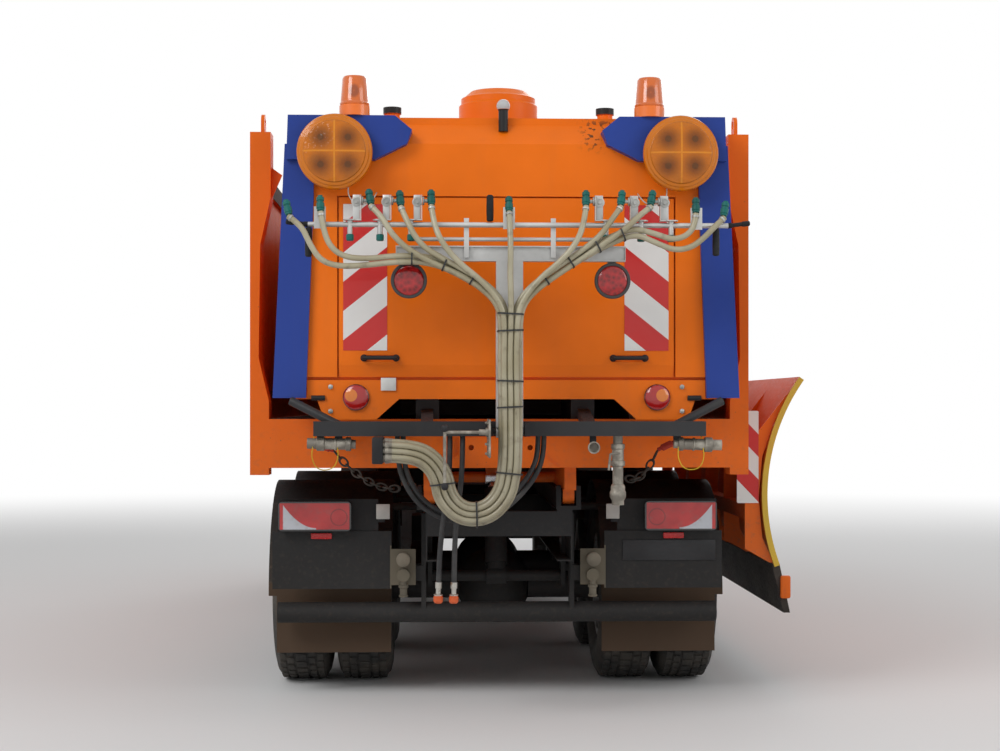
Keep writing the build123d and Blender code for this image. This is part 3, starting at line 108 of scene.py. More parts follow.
class Surface:
    """A finish, built from nodes on the piece's own coordinates in metres."""

    def __init__(self, name):
        self.material = bpy.data.materials.new(name)
        self.material.use_nodes = True
        self.tree = self.material.node_tree
        self.shader = self.tree.nodes["Principled BSDF"]
        self.place = self.node("ShaderNodeTexCoord", {}, {}, "Object")
        spread = self.tree.nodes.new("ShaderNodeSeparateXYZ")
        self.tree.links.new(self.place.socket, spread.inputs[0])
        self.x, self.y, self.z = (Value(self, spread.outputs[axis]) for axis in range(3))

    def node(self, kind, settings, inputs, output=0):
        made = self.tree.nodes.new(kind)
        for key, value in settings.items():
            setattr(made, key, value)
        for key, value in inputs.items():
            if isinstance(value, Value):
                self.tree.links.new(value.socket, made.inputs[key])
            else:
                made.inputs[key].default_value = value
        return Value(self, made.outputs[output])

    def noise(self, scale, detail=3, stretch=(1, 1, 1), low=0.35, high=0.65):
        """Cloudy pattern from 0 to 1, drawn out along an axis where its stretch is small."""
        where = self.node("ShaderNodeMapping", {}, {"Vector": self.place, "Scale": stretch})
        cloud = self.node("ShaderNodeTexNoise", {}, {"Vector": where, "Scale": scale, "Detail": detail})
        return self.ramp(cloud, low, high)

    def cells(self, scale, feature="F1", stretch=(1, 1, 1)):
        where = self.node("ShaderNodeMapping", {}, {"Vector": self.place, "Scale": stretch})
        return self.node("ShaderNodeTexVoronoi", {"feature": feature}, {"Vector": where, "Scale": scale})

    def ramp(self, value, low, high):
        """Rises smoothly from 0 at low to 1 at high."""
        settings = {"interpolation_type": "SMOOTHSTEP"}
        return self.node("ShaderNodeMapRange", settings, {"Value": value, "From Min": low, "From Max": high})

    def mix(self, mask, first, second):
        """The first colour where the mask is 0, the second where it is 1."""
        first, second = ((*c, 1) if isinstance(c, tuple) else c for c in (first, second))
        return self.node("ShaderNodeMix", {"data_type": "RGBA"}, {0: mask, 6: first, 7: second}, 2)

    def close(self, colour, roughness, height=None, depth=0.001, **others):
        """Fills the shader: colour, roughness, a height for the bump, and other sockets by their names."""
        for key, value in {"Base Color": colour, "Roughness": roughness, **others}.items():
            socket = self.shader.inputs[key.replace("_", " ")]
            if isinstance(value, Value):
                self.tree.links.new(value.socket, socket)
            else:
                socket.default_value = (*value, 1) if isinstance(value, tuple) else value
        if height is not None:
            bump = self.node("ShaderNodeBump", {}, {"Height": height, "Distance": depth, "Strength": 1})
            self.tree.links.new(bump.socket, self.shader.inputs["Normal"])
        return self.material


def dress(material, *names):
    """Gives a finish to CAD nodes."""
    for name in names:
        for slot in nodes[name].material_slots:
            slot.material = material


# Spray hoses
# Eleven soft PVC hoses on a woven core, 28 mm across, leave the nozzles, gather in two trunks and run down in
# front of the mast. Below the boom's hinge they hang in a slack loop that ends in the manifold on the beam.
NOZZLE_DEPTH = -4.136
HOSE_DEPTHS = (-4.156, -4.185, -4.214)
HOSE_PITCH = 0.029
HOSE_RADIUS = 0.014
# The spray unit stands a little right of the truck's middle
UNIT_X = 0.025
# Each hose: its free points in (x, z), its trunk, the trunk's point where it joins, its row there, its layer, and
# its column in the loop
HOSES = {
    "a": (((-1.036, 2.482), (-0.972, 2.44), (-0.932, 2.35), (-0.88, 2.268), (-0.79, 2.24)), "left", 0, -1, 0, -1.5),
    "b": (((-0.882, 2.505), (-0.868, 2.425), (-0.838, 2.34), (-0.775, 2.288)), "left", 0, 1, 0, -0.5),
    "c": (((-0.644, 2.535), (-0.588, 2.48), (-0.545, 2.4), (-0.47, 2.325)), "left", 2, -1, 1, -1.5),
    "d": (((-0.5, 2.53), (-0.468, 2.46), (-0.432, 2.385), (-0.38, 2.325), (-0.3, 2.28)), "left", 3, 1, 1, -0.5),
    "e": (((-0.352, 2.535), (-0.34, 2.44), (-0.295, 2.34), (-0.215, 2.25), (-0.105, 2.165)), "left", 5, 0, 2, -1),
    "f": (((0.021, 2.505), (0.023, 2.44), (0.026, 2.33), (0.023, 2.21), (0.027, 2.09)), "middle", 0, 0, 2, 0),
    "g": (((0.391, 2.535), (0.377, 2.44), (0.335, 2.345), (0.262, 2.262), (0.155, 2.175)), "right", 5, 0, 2, 1),
    "h": (((0.561, 2.535), (0.514, 2.47), (0.462, 2.397), (0.402, 2.344), (0.33, 2.292)), "right", 3, -1, 1, 0.5),
    "i": (((0.706, 2.535), (0.646, 2.49), (0.58, 2.424), (0.49, 2.364)), "right", 2, 1, 1, 1.5),
    "j": (((0.922, 2.502), (0.914, 2.438), (0.868, 2.388), (0.8, 2.374), (0.722, 2.402)), "right", 0, -1, 0, 0.5),
    "k": (((1.06, 2.484), (1.012, 2.44), (0.96, 2.385), (0.895, 2.335), (0.812, 2.322), (0.722, 2.36)), "right", 0, 1,
          0, 1.5),
}
# Each trunk's centre line in (x, z)
TRUNKS = {
    "left": ((-0.66, 2.262), (-0.51, 2.28), (-0.353, 2.276), (-0.215, 2.218), (-0.09, 2.142), (-0.014, 2.056),
             (-0.003, 1.94), (-0.007, 1.78), (-0.003, 1.625), (-0.003, 1.49)),
    "middle": ((0.026, 1.94), (0.022, 1.78), (0.026, 1.625), (0.026, 1.49)),
    "right": ((0.62, 2.416), (0.5, 2.368), (0.372, 2.3), (0.252, 2.222), (0.138, 2.142), (0.066, 2.056),
              (0.055, 1.94), (0.051, 1.78), (0.055, 1.625), (0.055, 1.49)),
}
LOOP = ((0.026, 1.488), (0.026, 1.385), (0.022, 1.268), (-0.002, 1.15), (-0.084, 1.062), (-0.202, 1.056),
        (-0.286, 1.136), (-0.304, 1.245), (-0.37, 1.332), (-0.474, 1.362), (-0.568, 1.362))


def beside(points, side):
    """Route beside a centre line in (x, z), kept at one distance from its runs."""
    spots = [Vector(point) for point in points]
    runs = [(after - before).normalized() for before, after in zip(spots, spots[1:])]
    line = []
    for index, spot in enumerate(spots):
        before = runs[max(index - 1, 0)]
        after = runs[min(index, len(runs) - 1)]
        normal = Vector((-before.y - after.y, before.x + after.x))
        line.append(spot + normal * (side / (1 + before.dot(after))))
    return line


def hose_line(name):
    """A hose's points from its nozzle to the manifold."""
    free, trunk, first, row, layer, column = HOSES[name]
    depth = HOSE_DEPTHS[layer]
    line = [(x, depth, z) for x, z in free]
    line[0] = (free[0][0], NOZZLE_DEPTH, free[0][1])
    line[1] = (free[1][0], NOZZLE_DEPTH + (depth - NOZZLE_DEPTH) * 0.55, free[1][1])
    line += [(spot.x, depth, spot.y) for spot in beside(TRUNKS[trunk][first:], row * HOSE_PITCH / 2)]
    return line + [(spot.x, depth, spot.y) for spot in beside(LOOP, column * HOSE_PITCH)[1:]]


def only(piece):
    """Makes one object the only one selected."""
    bpy.ops.object.select_all(action="DESELECT")
    piece.select_set(True)
    bpy.context.view_layer.objects.active = piece


def run_hose(name, points, radius, finish, crossing=None):
    """A hose along its route, as one smooth curve. One that crosses a joint becomes a tube of its own, and any other
    is seated on the bed."""
    route = bpy.data.curves.new(name, "CURVE")
    route.dimensions = "3D"
    route.resolution_u = 10
    spline = route.splines.new("NURBS")
    spline.points.add(len(points) - 1)
    for control, place in zip(spline.points, points):
        control.co = (*place, 1)
    spline.order_u = 3
    spline.use_endpoint_u = True
    piece = bpy.data.objects.new(name, route)
    scene.collection.objects.link(piece)
    centre_line = [tuple(vertex.co) for vertex in piece.to_mesh().vertices]
    piece.to_mesh_clear()
    route.bevel_depth = radius
    route.bevel_resolution = 5
    route.use_fill_caps = True
    if crossing:
        only(piece)
        bpy.ops.object.convert(target="MESH")
        piece = bpy.context.object
        bpy.ops.object.shade_smooth_by_angle(angle=math.radians(40))
    else:
        centre_line = None
        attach(piece, "bed")
    piece.data.materials.append(finish)
    if crossing:
        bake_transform(piece)


milky = Surface("milky_hose")
weave = milky.cells(260, stretch=(1, 1, 0.4))
bands = milky.noise(5, 3, low=0.3, high=0.7)
yellowed = milky.mix(bands, (0.31, 0.27, 0.165), (0.42, 0.385, 0.27))
stains = (milky.noise(23, 4, low=0.55, high=0.8) * 0.6 + (1 - milky.ramp(milky.z, 1, 1.9)) * 0.3).least(1)
milky.close(milky.mix(stains, yellowed, (0.13, 0.105, 0.07)), milky.noise(40, 2) * 0.15 + 0.3, weave, 0.0003,
            Coat_Weight=0.3, Coat_Roughness=0.2)
BEND = (1.16, 1.47)
for name in HOSES:
    run_hose("spray_hose_" + name, hose_line(name), HOSE_RADIUS, milky.material, crossing=BEND)

# Hose ties
# Black nylon cable ties pulled round the trunks and the bundle, 8 mm wide.
TIE_WIDTH = 0.008
TIE_THICK = 0.0022


def open_mesh():
    """Opens the active piece's mesh, all of it selected."""
    bpy.ops.object.mode_set(mode="EDIT")
    bpy.ops.mesh.select_all(action="SELECT")


def close_mesh():
    bpy.ops.object.mode_set(mode="OBJECT")


def finished(name, finish, body, bevel=0, smooth=35):
    """Names the active piece, rounds its edges, fixes its place in its mesh and seats it on a body."""
    piece = bpy.context.object
    only(piece)
    piece.name = name
    piece.data.name = name
    if bevel:
        edge = piece.modifiers.new("edges", "BEVEL")
        edge.width = bevel
        edge.segments = 2
        edge.limit_method = "ANGLE"
        bpy.ops.object.modifier_apply(modifier="edges")
    bpy.ops.object.transform_apply()
    open_mesh()
    bpy.ops.mesh.normals_make_consistent(inside=False)
    close_mesh()
    bpy.ops.object.shade_smooth_by_angle(angle=math.radians(smooth))
    piece.data.materials.clear()
    piece.data.materials.append(finish)
    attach(piece, body)
    return piece


def tie(name, centre, direction, half_wide, half_deep, body):
    """A band round a bundle that runs along a direction in (x, z)."""
    bpy.ops.object.select_all(action="DESELECT")
    bpy.ops.mesh.primitive_plane_add(size=2)
    band = bpy.context.object
    band.scale = (half_wide + 0.001, half_deep + 0.001, 1)
    bpy.ops.object.transform_apply(location=False, rotation=False)
    open_mesh()
    bpy.ops.mesh.bevel(offset=min(half_wide, half_deep) * 0.55, segments=4, affect="VERTICES")
    bpy.ops.mesh.delete(type="ONLY_FACE")
    bpy.ops.mesh.select_all(action="SELECT")
    bpy.ops.mesh.extrude_region_move(TRANSFORM_OT_translate={"value": (0, 0, TIE_WIDTH)})
    close_mesh()
    wall = band.modifiers.new("wall", "SOLIDIFY")
    wall.thickness = TIE_THICK
    wall.offset = 1
    bpy.ops.object.modifier_apply(modifier="wall")
    band.rotation_euler = (0, math.atan2(direction[0], direction[1]), 0)
    band.location = centre
    return finished(name, tie_black.material, body)


tie_black = Surface("tie_black")
tie_black.close((0.012, 0.012, 0.013), tie_black.noise(80, 2) * 0.1 + 0.4)
TRUNK_DEPTH = -4.1705
TRUNK_TIES = (
    ((-0.44, 2.278), (-1, 0.02)), ((-0.285, 2.247), (-1, 0.42)), ((-0.15, 2.18), (-1, 0.6)),
    ((0.56, 2.392), (1, 0.4)), ((0.44, 2.336), (1, 0.52)), ((0.31, 2.26), (1, 0.64)), ((0.19, 2.178), (1, 0.7)),
)
for index, ((x, z), direction) in enumerate(TRUNK_TIES):
    tie("trunk_tie_%d" % index, (x, TRUNK_DEPTH, z), direction, 0.0295, 0.029, "boom")
BUNDLE_TIES = ((2.01, (0.05, 1)), (1.93, (-0.04, 1)), (1.69, (0.03, 1)), (1.566, (-0.05, 1)))
for index, (z, direction) in enumerate(BUNDLE_TIES):
    tie("bundle_tie_%d" % index, (UNIT_X, HOSE_DEPTHS[1], z), direction, 0.06, 0.045, "boom")
LOOP_TIES = (((0.02, 1.25), (0.1, 1)), ((-0.14, 1.058), (1, 0.03)), ((-0.296, 1.2), (-0.12, 1)))
for index, ((x, z), direction) in enumerate(LOOP_TIES):
    tie("loop_tie_%d" % index, (x, HOSE_DEPTHS[1], z), direction, 0.06, 0.045, "bed")

# Hydraulic hoses
# Two black rubber hoses hang in a loop under the beam. Two more hang straight down and end in steel
# couplings with orange dust caps.
BACKWARDS, UPWARDS, DOWNWARDS = (0, -1, 0), (0, 0, 1), (0, 0, -1)
BLACK_LOOP = ((-0.505, 1.428), (-0.505, 1.335), (-0.484, 1.225), (-0.412, 1.105), (-0.3, 1.034),
              (-0.165, 1.014), (-0.035, 1.052), (0.072, 1.14), (0.15, 1.24), (0.186, 1.338),
              (0.186, 1.428))
BLACK_LINES = (
    ((-0.262, -3.975, 1.428), (-0.262, -3.975, 1.33), (-0.268, -3.983, 1.2), (-0.288, -3.988, 1.07),
     (-0.304, -3.984, 0.94), (-0.314, -3.978, 0.82), (-0.317, -3.974, 0.715)),
    ((-0.2, -3.975, 1.428), (-0.2, -3.975, 1.34), (-0.206, -3.984, 1.21), (-0.224, -3.988, 1.08),
     (-0.236, -3.983, 0.95), (-0.24, -3.977, 0.83), (-0.242, -3.973, 0.714)),
)
BLACK_LOOP_DEPTH = -3.935
BLACK_PITCH = 0.028
BLACK_RADIUS = 0.013
rubber = Surface("hose_rubber")
chalk = rubber.noise(9, 4, low=0.45, high=0.75)
rubber.close(rubber.mix(chalk * 0.6, (0.014, 0.014, 0.015), (0.075, 0.072, 0.068)), rubber.noise(50, 2) * 0.15 + 0.5,
             rubber.cells(330), 0.0002)
coupling = Surface("coupling_zinc")
rust = coupling.noise(30, 5, low=0.5, high=0.7)
steel = coupling.mix(rust, (0.48, 0.46, 0.42), (0.17, 0.09, 0.045))
cap_part = 1 - coupling.ramp(coupling.z, 0.646, 0.65)
coupling.close(coupling.mix(cap_part, steel, (0.62, 0.1, 0.02)), rust * 0.3 + 0.35 + cap_part * 0.1,
               coupling.noise(90, 3), 0.0004, Metallic=(1 - cap_part) * (1 - rust) * 0.9)
for index, side in enumerate((-1, 1)):
    spots = beside(BLACK_LOOP, side * BLACK_PITCH / 2)
    run_hose("oil_hose_%d" % index, [(spot.x, BLACK_LOOP_DEPTH, spot.y) for spot in spots], BLACK_RADIUS,
             rubber.material)


def turned(name, stations, place, aim, finish, body, slot, segments=32, closed=False, bevel=0, smooth=35):
    """A piece turned on a lathe: (radius, height) stations along its axis, which then points along aim."""
    bpy.ops.object.select_all(action="DESELECT")
    bpy.ops.mesh.primitive_circle_add(vertices=segments, radius=stations[0][0],
                                      fill_type="NOTHING" if closed else "NGON")
    piece = bpy.context.object
    open_mesh()
    bpy.ops.transform.translate(value=(0, 0, stations[0][1]))
    for (radius, height), (wide, high) in zip(stations, stations[1:]):
        bpy.ops.mesh.extrude_region_move(TRANSFORM_OT_translate={"value": (0, 0, high - height)})
        bpy.ops.transform.resize(value=(wide / radius, wide / radius, 1), center_override=(0, 0, high))
    if closed:
        bpy.ops.mesh.select_all(action="SELECT")
        bpy.ops.mesh.remove_doubles(threshold=0.00002)
    close_mesh()
    piece.rotation_euler = Vector(aim).to_track_quat("Z", "Y").to_euler()
    piece.location = place
    return finished(name, finish, body, bevel, smooth)


COUPLING = ((0.0165, 0), (0.0165, 0.03), (0.0125, 0.032), (0.0125, 0.056), (0.0225, 0.06), (0.0225, 0.064),
            (0.0205, 0.066), (0.0205, 0.07), (0.0235, 0.072), (0.0235, 0.094), (0.017, 0.103))
for index, line in enumerate(BLACK_LINES):
    aim = Vector(line[-1]) - Vector(line[-2])
    end = turned("hose_coupling_%d" % index, COUPLING, line[-1], aim, coupling.material, "bed", "rim_steel", 24)
    run_hose("tap_hose_%d" % index, line, BLACK_RADIUS, rubber.material)


# Chassis
# Welded and bolted steel in black paint, dulled by road film that thickens towards the ground. The trailer
# sockets are bare castings, and the rubber flaps have turned brown.
def paint(name, colour, film=(0.15, 0.11, 0.08), film_low=0.6, film_high=1.9, grime=0.5, gloss=0.3, chips=0,
          marks=()):
    """Sprayed paint: its tone drifts, rain leaves streaks and film gathers low down. Marks cover it where they are
    1."""
    surface = Surface(name)
    tone = surface.noise(1.3, 4, low=0.3, high=0.7)
    shade = surface.mix(tone, tuple(c * 0.9 for c in colour), tuple(min(1, c * 1.08 + 0.004) for c in colour))
    streaks = surface.noise(9, 3, stretch=(1, 1, 0.08), low=0.5, high=0.85)
    low_down = 1 - surface.ramp(surface.z, film_low, film_high)
    spatter = surface.noise(38, 5, low=0.52, high=0.72)
    dust = (streaks * 0.22 + low_down * (0.3 + spatter * 0.5)) * grime
    shade = surface.mix(dust, shade, film)
    rough = surface.noise(55, 4) * 0.1 + gloss + dust * 0.4
    if chips:
        flakes = surface.ramp(surface.cells(24), 0.1, 0.05) * surface.noise(3.1, 4, low=0.5, high=0.62) * chips
        shade = surface.mix(flakes, shade, (0.1, 0.07, 0.05))
    for mark, mark_colour, mark_rough in marks:
        mask = mark(surface)
        shade = surface.mix(mask, shade, mark_colour)
        rough = rough * (1 - mask) + mask * mark_rough
    return surface.close(shade, rough, surface.noise(420, 1), 0.00015, Coat_Weight=0.04, Coat_Roughness=0.1,
                         Specular_IOR_Level=0.16)


def inside(value, low, high, edge=0.002):
    """1 between two limits, 0 outside them."""
    surface = value.surface
    return surface.ramp(value, low - edge, low + edge) * (1 - surface.ramp(value, high - edge, high + edge))


def sockets(surface):
    behind = 1 - surface.ramp(surface.y, -3.186, -3.182)
    return inside(abs(surface.x), 0.42, 0.5765) * inside(surface.z, 0.6, 0.83) * behind


def flaps(surface):
    return (1 - surface.ramp(surface.y, -2.94, -2.93)) * (1 - surface.ramp(surface.z, 0.6, 0.62))


SIDES = ((-1, "left"), (1, "right"))
BLACK = (0.017, 0.0175, 0.019)
dress(paint("chassis_black", BLACK, film=(0.065, 0.055, 0.045), film_high=1.3, grime=0.55, gloss=0.5,
            marks=[(sockets, (0.15, 0.13, 0.095), 0.6)]),
      "chassis_frame", "powertrain", "front_axle", "driven_axles", "leaf_springs", "rear_carrier", "side_boxes",
      "knuckle_left", "knuckle_right", "hoist_barrel")
dress(paint("guard_plastic", (0.02, 0.02, 0.021), film=(0.13, 0.1, 0.075), film_high=1.2, grime=0.9, gloss=0.6,
            marks=[(flaps, (0.085, 0.055, 0.036), 0.85)]), "mudguards")


def plain(name, colour, roughness, metallic=0, grain=60, variation=0.25, depth=0.0002, **constants):
    """Moulded or bare surface: tone and gloss wander a little, over a fine grain."""
    surface = Surface(name)
    tone = surface.noise(4, 4, low=0.3, high=0.7)
    shade = surface.mix(tone, tuple(c * (1 - variation) for c in colour),
                        tuple(min(1, c * (1 + variation)) for c in colour))
    rough = surface.noise(grain, 3) * 0.14 + roughness
    return surface.close(shade, rough, surface.noise(grain * 9, 2), depth, Metallic=metallic, Specular_IOR_Level=0.25,
                         **constants)


def cube(size, centre=(0, 0, 0)):
    """A box whose size is fixed in its mesh, still free to be moved and turned."""
    bpy.ops.object.select_all(action="DESELECT")
    bpy.ops.mesh.primitive_cube_add(size=1, location=centre)
    piece = bpy.context.object
    piece.scale = size
    bpy.ops.object.transform_apply(location=False, rotation=False)
    return piece


def block(name, x, y, z, finish, body, slot, bevel=0.003):
    """A flat-sided piece between its limits, with its edges rounded."""
    limits = (x, y, z)
    cube([high - low for low, high in limits], [(low + high) / 2 for low, high in limits])
    return finished(name, finish, body, bevel)


def rod(name, points, radius, finish, body, slot, corners=0):
    """A bent bar along its points."""
    line = bpy.data.curves.new(name, "CURVE")
    line.dimensions = "3D"
    line.bevel_depth = radius
    line.bevel_resolution = 4
    line.use_fill_caps = True
    spline = line.splines.new("NURBS" if corners else "POLY")
    spots = [Vector(point) for point in points]
    if corners:
        rounded = [spots[0]]
        for before, spot, after in zip(spots, spots[1:], spots[2:]):
            start, end = (spot + (other - spot).normalized() * corners for other in (before, after))
            rounded += [start, spot, end]
        spots = rounded + [spots[-1]]
    spline.points.add(len(spots) - 1)
    for control, spot in zip(spline.points, spots):
        control.co = (*spot, 1)
    if corners:
        spline.order_u = 3
        spline.use_endpoint_u = True
        spline.resolution_u = 6
    piece = bpy.data.objects.new(name, line)
    scene.collection.objects.link(piece)
    only(piece)
    bpy.ops.object.convert(target="MESH")
    return finished(name, finish, body, smooth=50)


zinc = plain("zinc", (0.42, 0.42, 0.4), 0.42, 0.75, variation=0.3)
black_trim = plain("black_trim", (0.018, 0.018, 0.02), 0.45)
# What many small pieces share: a finish, a body and a slot
BOOM_ZINC = (zinc, "boom", "rim_steel")
BED_ZINC = (zinc, "bed", "rim_steel")
BED_BLACK = (black_trim, "bed", "chassis_black")
BED_TRIM = (black_trim, "bed", "dark_plastic")
CAB_TRIM = (black_trim, "chassis", "dark_plastic")
SOCKET = ((0.036, 0), (0.036, 0.018), (0.031, 0.022), (0.031, 0.042), (0.037, 0.045), (0.037, 0.056), (0.028, 0.062),
          (0.01, 0.064))
plate = plain("blank_reflector", (0.62, 0.61, 0.57), 0.4)
casting = plain("socket_casting", (0.19, 0.165, 0.125), 0.5, variation=0.4)
CASTING = (casting, "chassis", "rim_steel")
for side, name in SIDES:
    x = side * 0.505
    turned("socket_cap_" + name, SOCKET, (x, -3.236, 0.762), BACKWARDS, *CASTING, 32)
    turned("socket_plug_" + name, ((0.017, 0), (0.017, 0.03), (0.026, 0.034), (0.026, 0.046), (0.02, 0.05),
                                   (0.02, 0.085), (0.025, 0.088), (0.025, 0.096)),
           (x, -3.216, 0.655), (0, 0.05, -1), *CASTING, 24)
    block("reflector_plate_" + name, sorted((side * 0.578, side * 0.65)), (-3.206, -3.2), (0.972, 1.052), plate,
          "chassis", "rim_steel", 0.002)
    block("reflector_stay_" + name, sorted((side * 0.604, side * 0.64)), (-3.2, -3.176), (0.955, 1.03), black_trim,
          "chassis", "chassis_black", 0.002)

block("blank_name_plate", (0.667, 1.167), (-3.197, -3.189), (0.748, 0.858),
      plain("plate_grey", (0.03, 0.03, 0.032), 0.45), "chassis", "chassis_black", 0.003)

# Tail lamps
# Red acrylic over a black tray, with a clear reversing window low on the outer end. A small reflector bar
# stands below each lamp, and dust dulls the lower edge.
def distance(surface, x, z):
    """Distance from a centre in the vertical plane."""
    flat = surface.node("ShaderNodeCombineXYZ", {}, {0: x, 2: z})
    return surface.node("ShaderNodeVectorMath", {"operation": "LENGTH"}, {0: flat}, 1)


tail = Surface("tail_lens")
across = abs(tail.x)
swell = (across - 0.965) * (across - 0.965) * 4
window = tail.ramp(0.928 + swell - tail.z, -0.003, 0.003) * inside(across, 0.966, 1.14)
ring_line = inside(distance(tail, across - 0.845, tail.z - 0.985), 0.04, 0.046)
tray = 1 - inside(across, 0.79, 1.158) * inside(tail.z, 0.921, 1.06)
prisms = tail.x.ripple(0.008)
lens = tail.mix(tail.noise(7, 3), (0.42, 0.008, 0.01), (0.56, 0.018, 0.018))
lens = tail.mix(ring_line * 0.6, lens, (0.1, 0.002, 0.002))
lens = tail.mix(window, lens, (0.52, 0.55, 0.6))
lens = tail.mix(tail.noise(16, 4, low=0.5, high=0.75) * 0.35, lens, (0.2, 0.1, 0.08))
tail.close(tail.mix(tray, lens, (0.02, 0.018, 0.018)), tail.noise(40, 3) * 0.1 + 0.14, prisms, 0.004,
           Coat_Weight=0.5, Coat_Roughness=0.06)
dress(tail.material, "tail_lamps")
red_bar = plain("red_reflector", (0.5, 0.012, 0.012), 0.2, Coat_Weight=0.5)
for side, name in SIDES:
    block("reflector_bar_" + name, sorted((side * 0.886, side * 0.997)), (-3.202, -3.186), (0.866, 0.898), red_bar,
          "chassis", "red_lens", 0.004)

# Wheels
# Steel discs in silver paint with ten nuts each, and 315 tyres with a block tread 12 mm deep. Dry dust
# lightens the sidewalls, and brake dust the discs.
tyre_finish = Surface("tyre_rubber")
dusty = tyre_finish.noise(6, 4, low=0.35, high=0.7) * 0.65
tyre_finish.close(tyre_finish.mix(dusty, (0.02, 0.019, 0.018), (0.085, 0.072, 0.058)),
                  tyre_finish.noise(50, 3) * 0.1 + 0.72, tyre_finish.noise(160, 3), 0.0006)
dress(paint("rim_silver", (0.34, 0.345, 0.35), film=(0.12, 0.085, 0.06), film_low=0.1, film_high=1.2, grime=0.9,
            gloss=0.38), *[name for name in nodes if name.startswith("rims_")])
# One side of a tyre from its bead to its tread, as (radius, place across)
SIDEWALL = ((0.2863, 0.1142), (0.307, 0.1142), (0.33, 0.135), (0.352, 0.1405), (0.356, 0.144), (0.406, 0.156),
            (0.45, 0.1545), (0.493, 0.144), (0.519, 0.124), (0.5255, 0.118))
OTHER_WALL = [(radius, -across) for radius, across in reversed(SIDEWALL)]
TYRE = (OTHER_WALL[-1], *SIDEWALL, (0.5285, 0), *OTHER_WALL)
AXLE_Z = 0.538
LUGS = 46
LUG_DEPTH = 0.016
# Each row of lugs: its place across the tread, width, length and outer radius
LUG_ROWS = ((-0.1045, 0.036, 0.046, 0.5335), (-0.06, 0.036, 0.05, 0.5365), (0, 0.058, 0.044, 0.5378),
            (0.06, 0.036, 0.05, 0.5365), (0.1045, 0.036, 0.046, 0.5335))


def make_tyre():
    """One tyre about the X axis at the origin: its carcass, then rows of lugs spun round the tread."""
    carcass = turned("tyre", TYRE, (0, 0, 0), (1, 0, 0), tyre_finish.material, "chassis", "tyre_rubber", 92,
                     closed=True)
    rows = []
    for index, (across, wide, long, top) in enumerate(LUG_ROWS):
        lug = cube((wide, long, LUG_DEPTH))
        stagger = math.pi / LUGS * (index % 2)
        lug.location = (across, -math.sin(stagger) * (top - LUG_DEPTH / 2), math.cos(stagger) * (top - LUG_DEPTH / 2))
        lug.rotation_euler = (stagger, 0, 0)
        bpy.ops.object.transform_apply()
        open_mesh()
        bpy.ops.mesh.bevel(offset=0.003, segments=1)
        bpy.ops.mesh.select_all(action="SELECT")
        bpy.ops.mesh.spin(steps=LUGS - 1, dupli=True, angle=math.tau * (LUGS - 1) / LUGS, center=(0, 0, 0),
                          axis=(1, 0, 0))
        close_mesh()
        rows.append(lug)
    only(carcass)
    for lug in rows:
        lug.select_set(True)
    bpy.ops.object.join()
    return carcass


def placed(master, name, place, finish, body, turn=(0, 0, 0)):
    """A copy of a piece with its own mesh, at its place on a body."""
    only(master)
    bpy.ops.object.duplicate()
    piece = bpy.context.object
    piece.location = place
    piece.rotation_euler = turn
    return finished(name, finish, body)


def make_nuts(radius):
    """Ten wheel nuts with their studs, facing along X."""
    nut = turned("nuts", ((0.015, 0), (0.015, 0.02), (0.0125, 0.023), (0.0095, 0.024), (0.0095, 0.036)),
                 (0, radius, 0), (1, 0, 0), zinc, "chassis", "rim_steel", 6)
    open_mesh()
    bpy.ops.mesh.spin(steps=9, dupli=True, angle=math.tau * 0.9, center=(0, 0, 0), axis=(1, 0, 0))
    close_mesh()
    return nut


tyre_master = make_tyre()
front_nuts = make_nuts(0.128)
rear_nuts = make_nuts(0.15)
TWINS = (0.735, 1.085)
# Each axle: its name and place, how far out its tyres stand, and how far its nuts stand from their middle
AXLES = (("front", 2.6, (1.02,), 0.15), ("mid", -1, TWINS, 0.018), ("rear", -2.35, TWINS, 0.018))
for axle, y, rows, face in AXLES:
    for side, hand in SIDES:
        body = "wheel_%s_%s" % (axle, hand)
        for index, across in enumerate(rows):
            tyre = placed(tyre_master, "tyre_%s_%s_%d" % (axle, hand, index), (side * across, y, AXLE_Z),
                          tyre_finish.material, body)
            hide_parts("tyres_%s_%s" % (axle, hand))
        middle = sum(rows) / len(rows)
        placed(front_nuts if axle == "front" else rear_nuts, "nuts_%s_%s" % (axle, hand),
               (side * (middle + face), y, AXLE_Z), zinc, body, (0, 0, 0 if side > 0 else math.pi))
for master in (tyre_master, front_nuts, rear_nuts):
    bpy.data.objects.remove(master)

# Cab
# Orange steel cab with a black grille and steps, tinted laminated glass and mirror heads in grained
# plastic. Handles, wipers and roof markers are separate mouldings.
ORANGE = (0.74, 0.128, 0.004)


def behind_grille(surface):
    return inside(abs(surface.x), 0, 0.77) * inside(surface.z, 1.19, 1.67) * surface.ramp(surface.y, 4.03, 4.034)


cab_orange = paint("cab_orange", (0.8, 0.145, 0.005), film_low=0.9, film_high=1.7, grime=0.35,
                   marks=[(behind_grille, (0.012, 0.012, 0.013), 0.6)])
dress(cab_orange, "cab_shell", "door_left", "door_right")
dress(plain("grained_plastic", (0.022, 0.022, 0.024), 0.6, grain=90, depth=0.0004), "front_trim", "dashboard")
mirror = Surface("mirror_heads")
pane = inside(abs(mirror.x), 1.36, 1.556) * inside(mirror.z, 1.83, 2.41) * (1 - mirror.ramp(mirror.y, 3.931, 3.934))
mirror.close(mirror.mix(pane, (0.02, 0.02, 0.022), (0.75, 0.77, 0.78)), 0.55 - pane * 0.52, mirror.noise(500, 2),
             0.0001, Metallic=pane)
dress(mirror.material, "mirrors")
glass = Surface("window_glass")
glass.close((0.5, 0.58, 0.6), glass.noise(12, 3) * 0.03 + 0.02, Transmission_Weight=0.9, IOR=1.45)
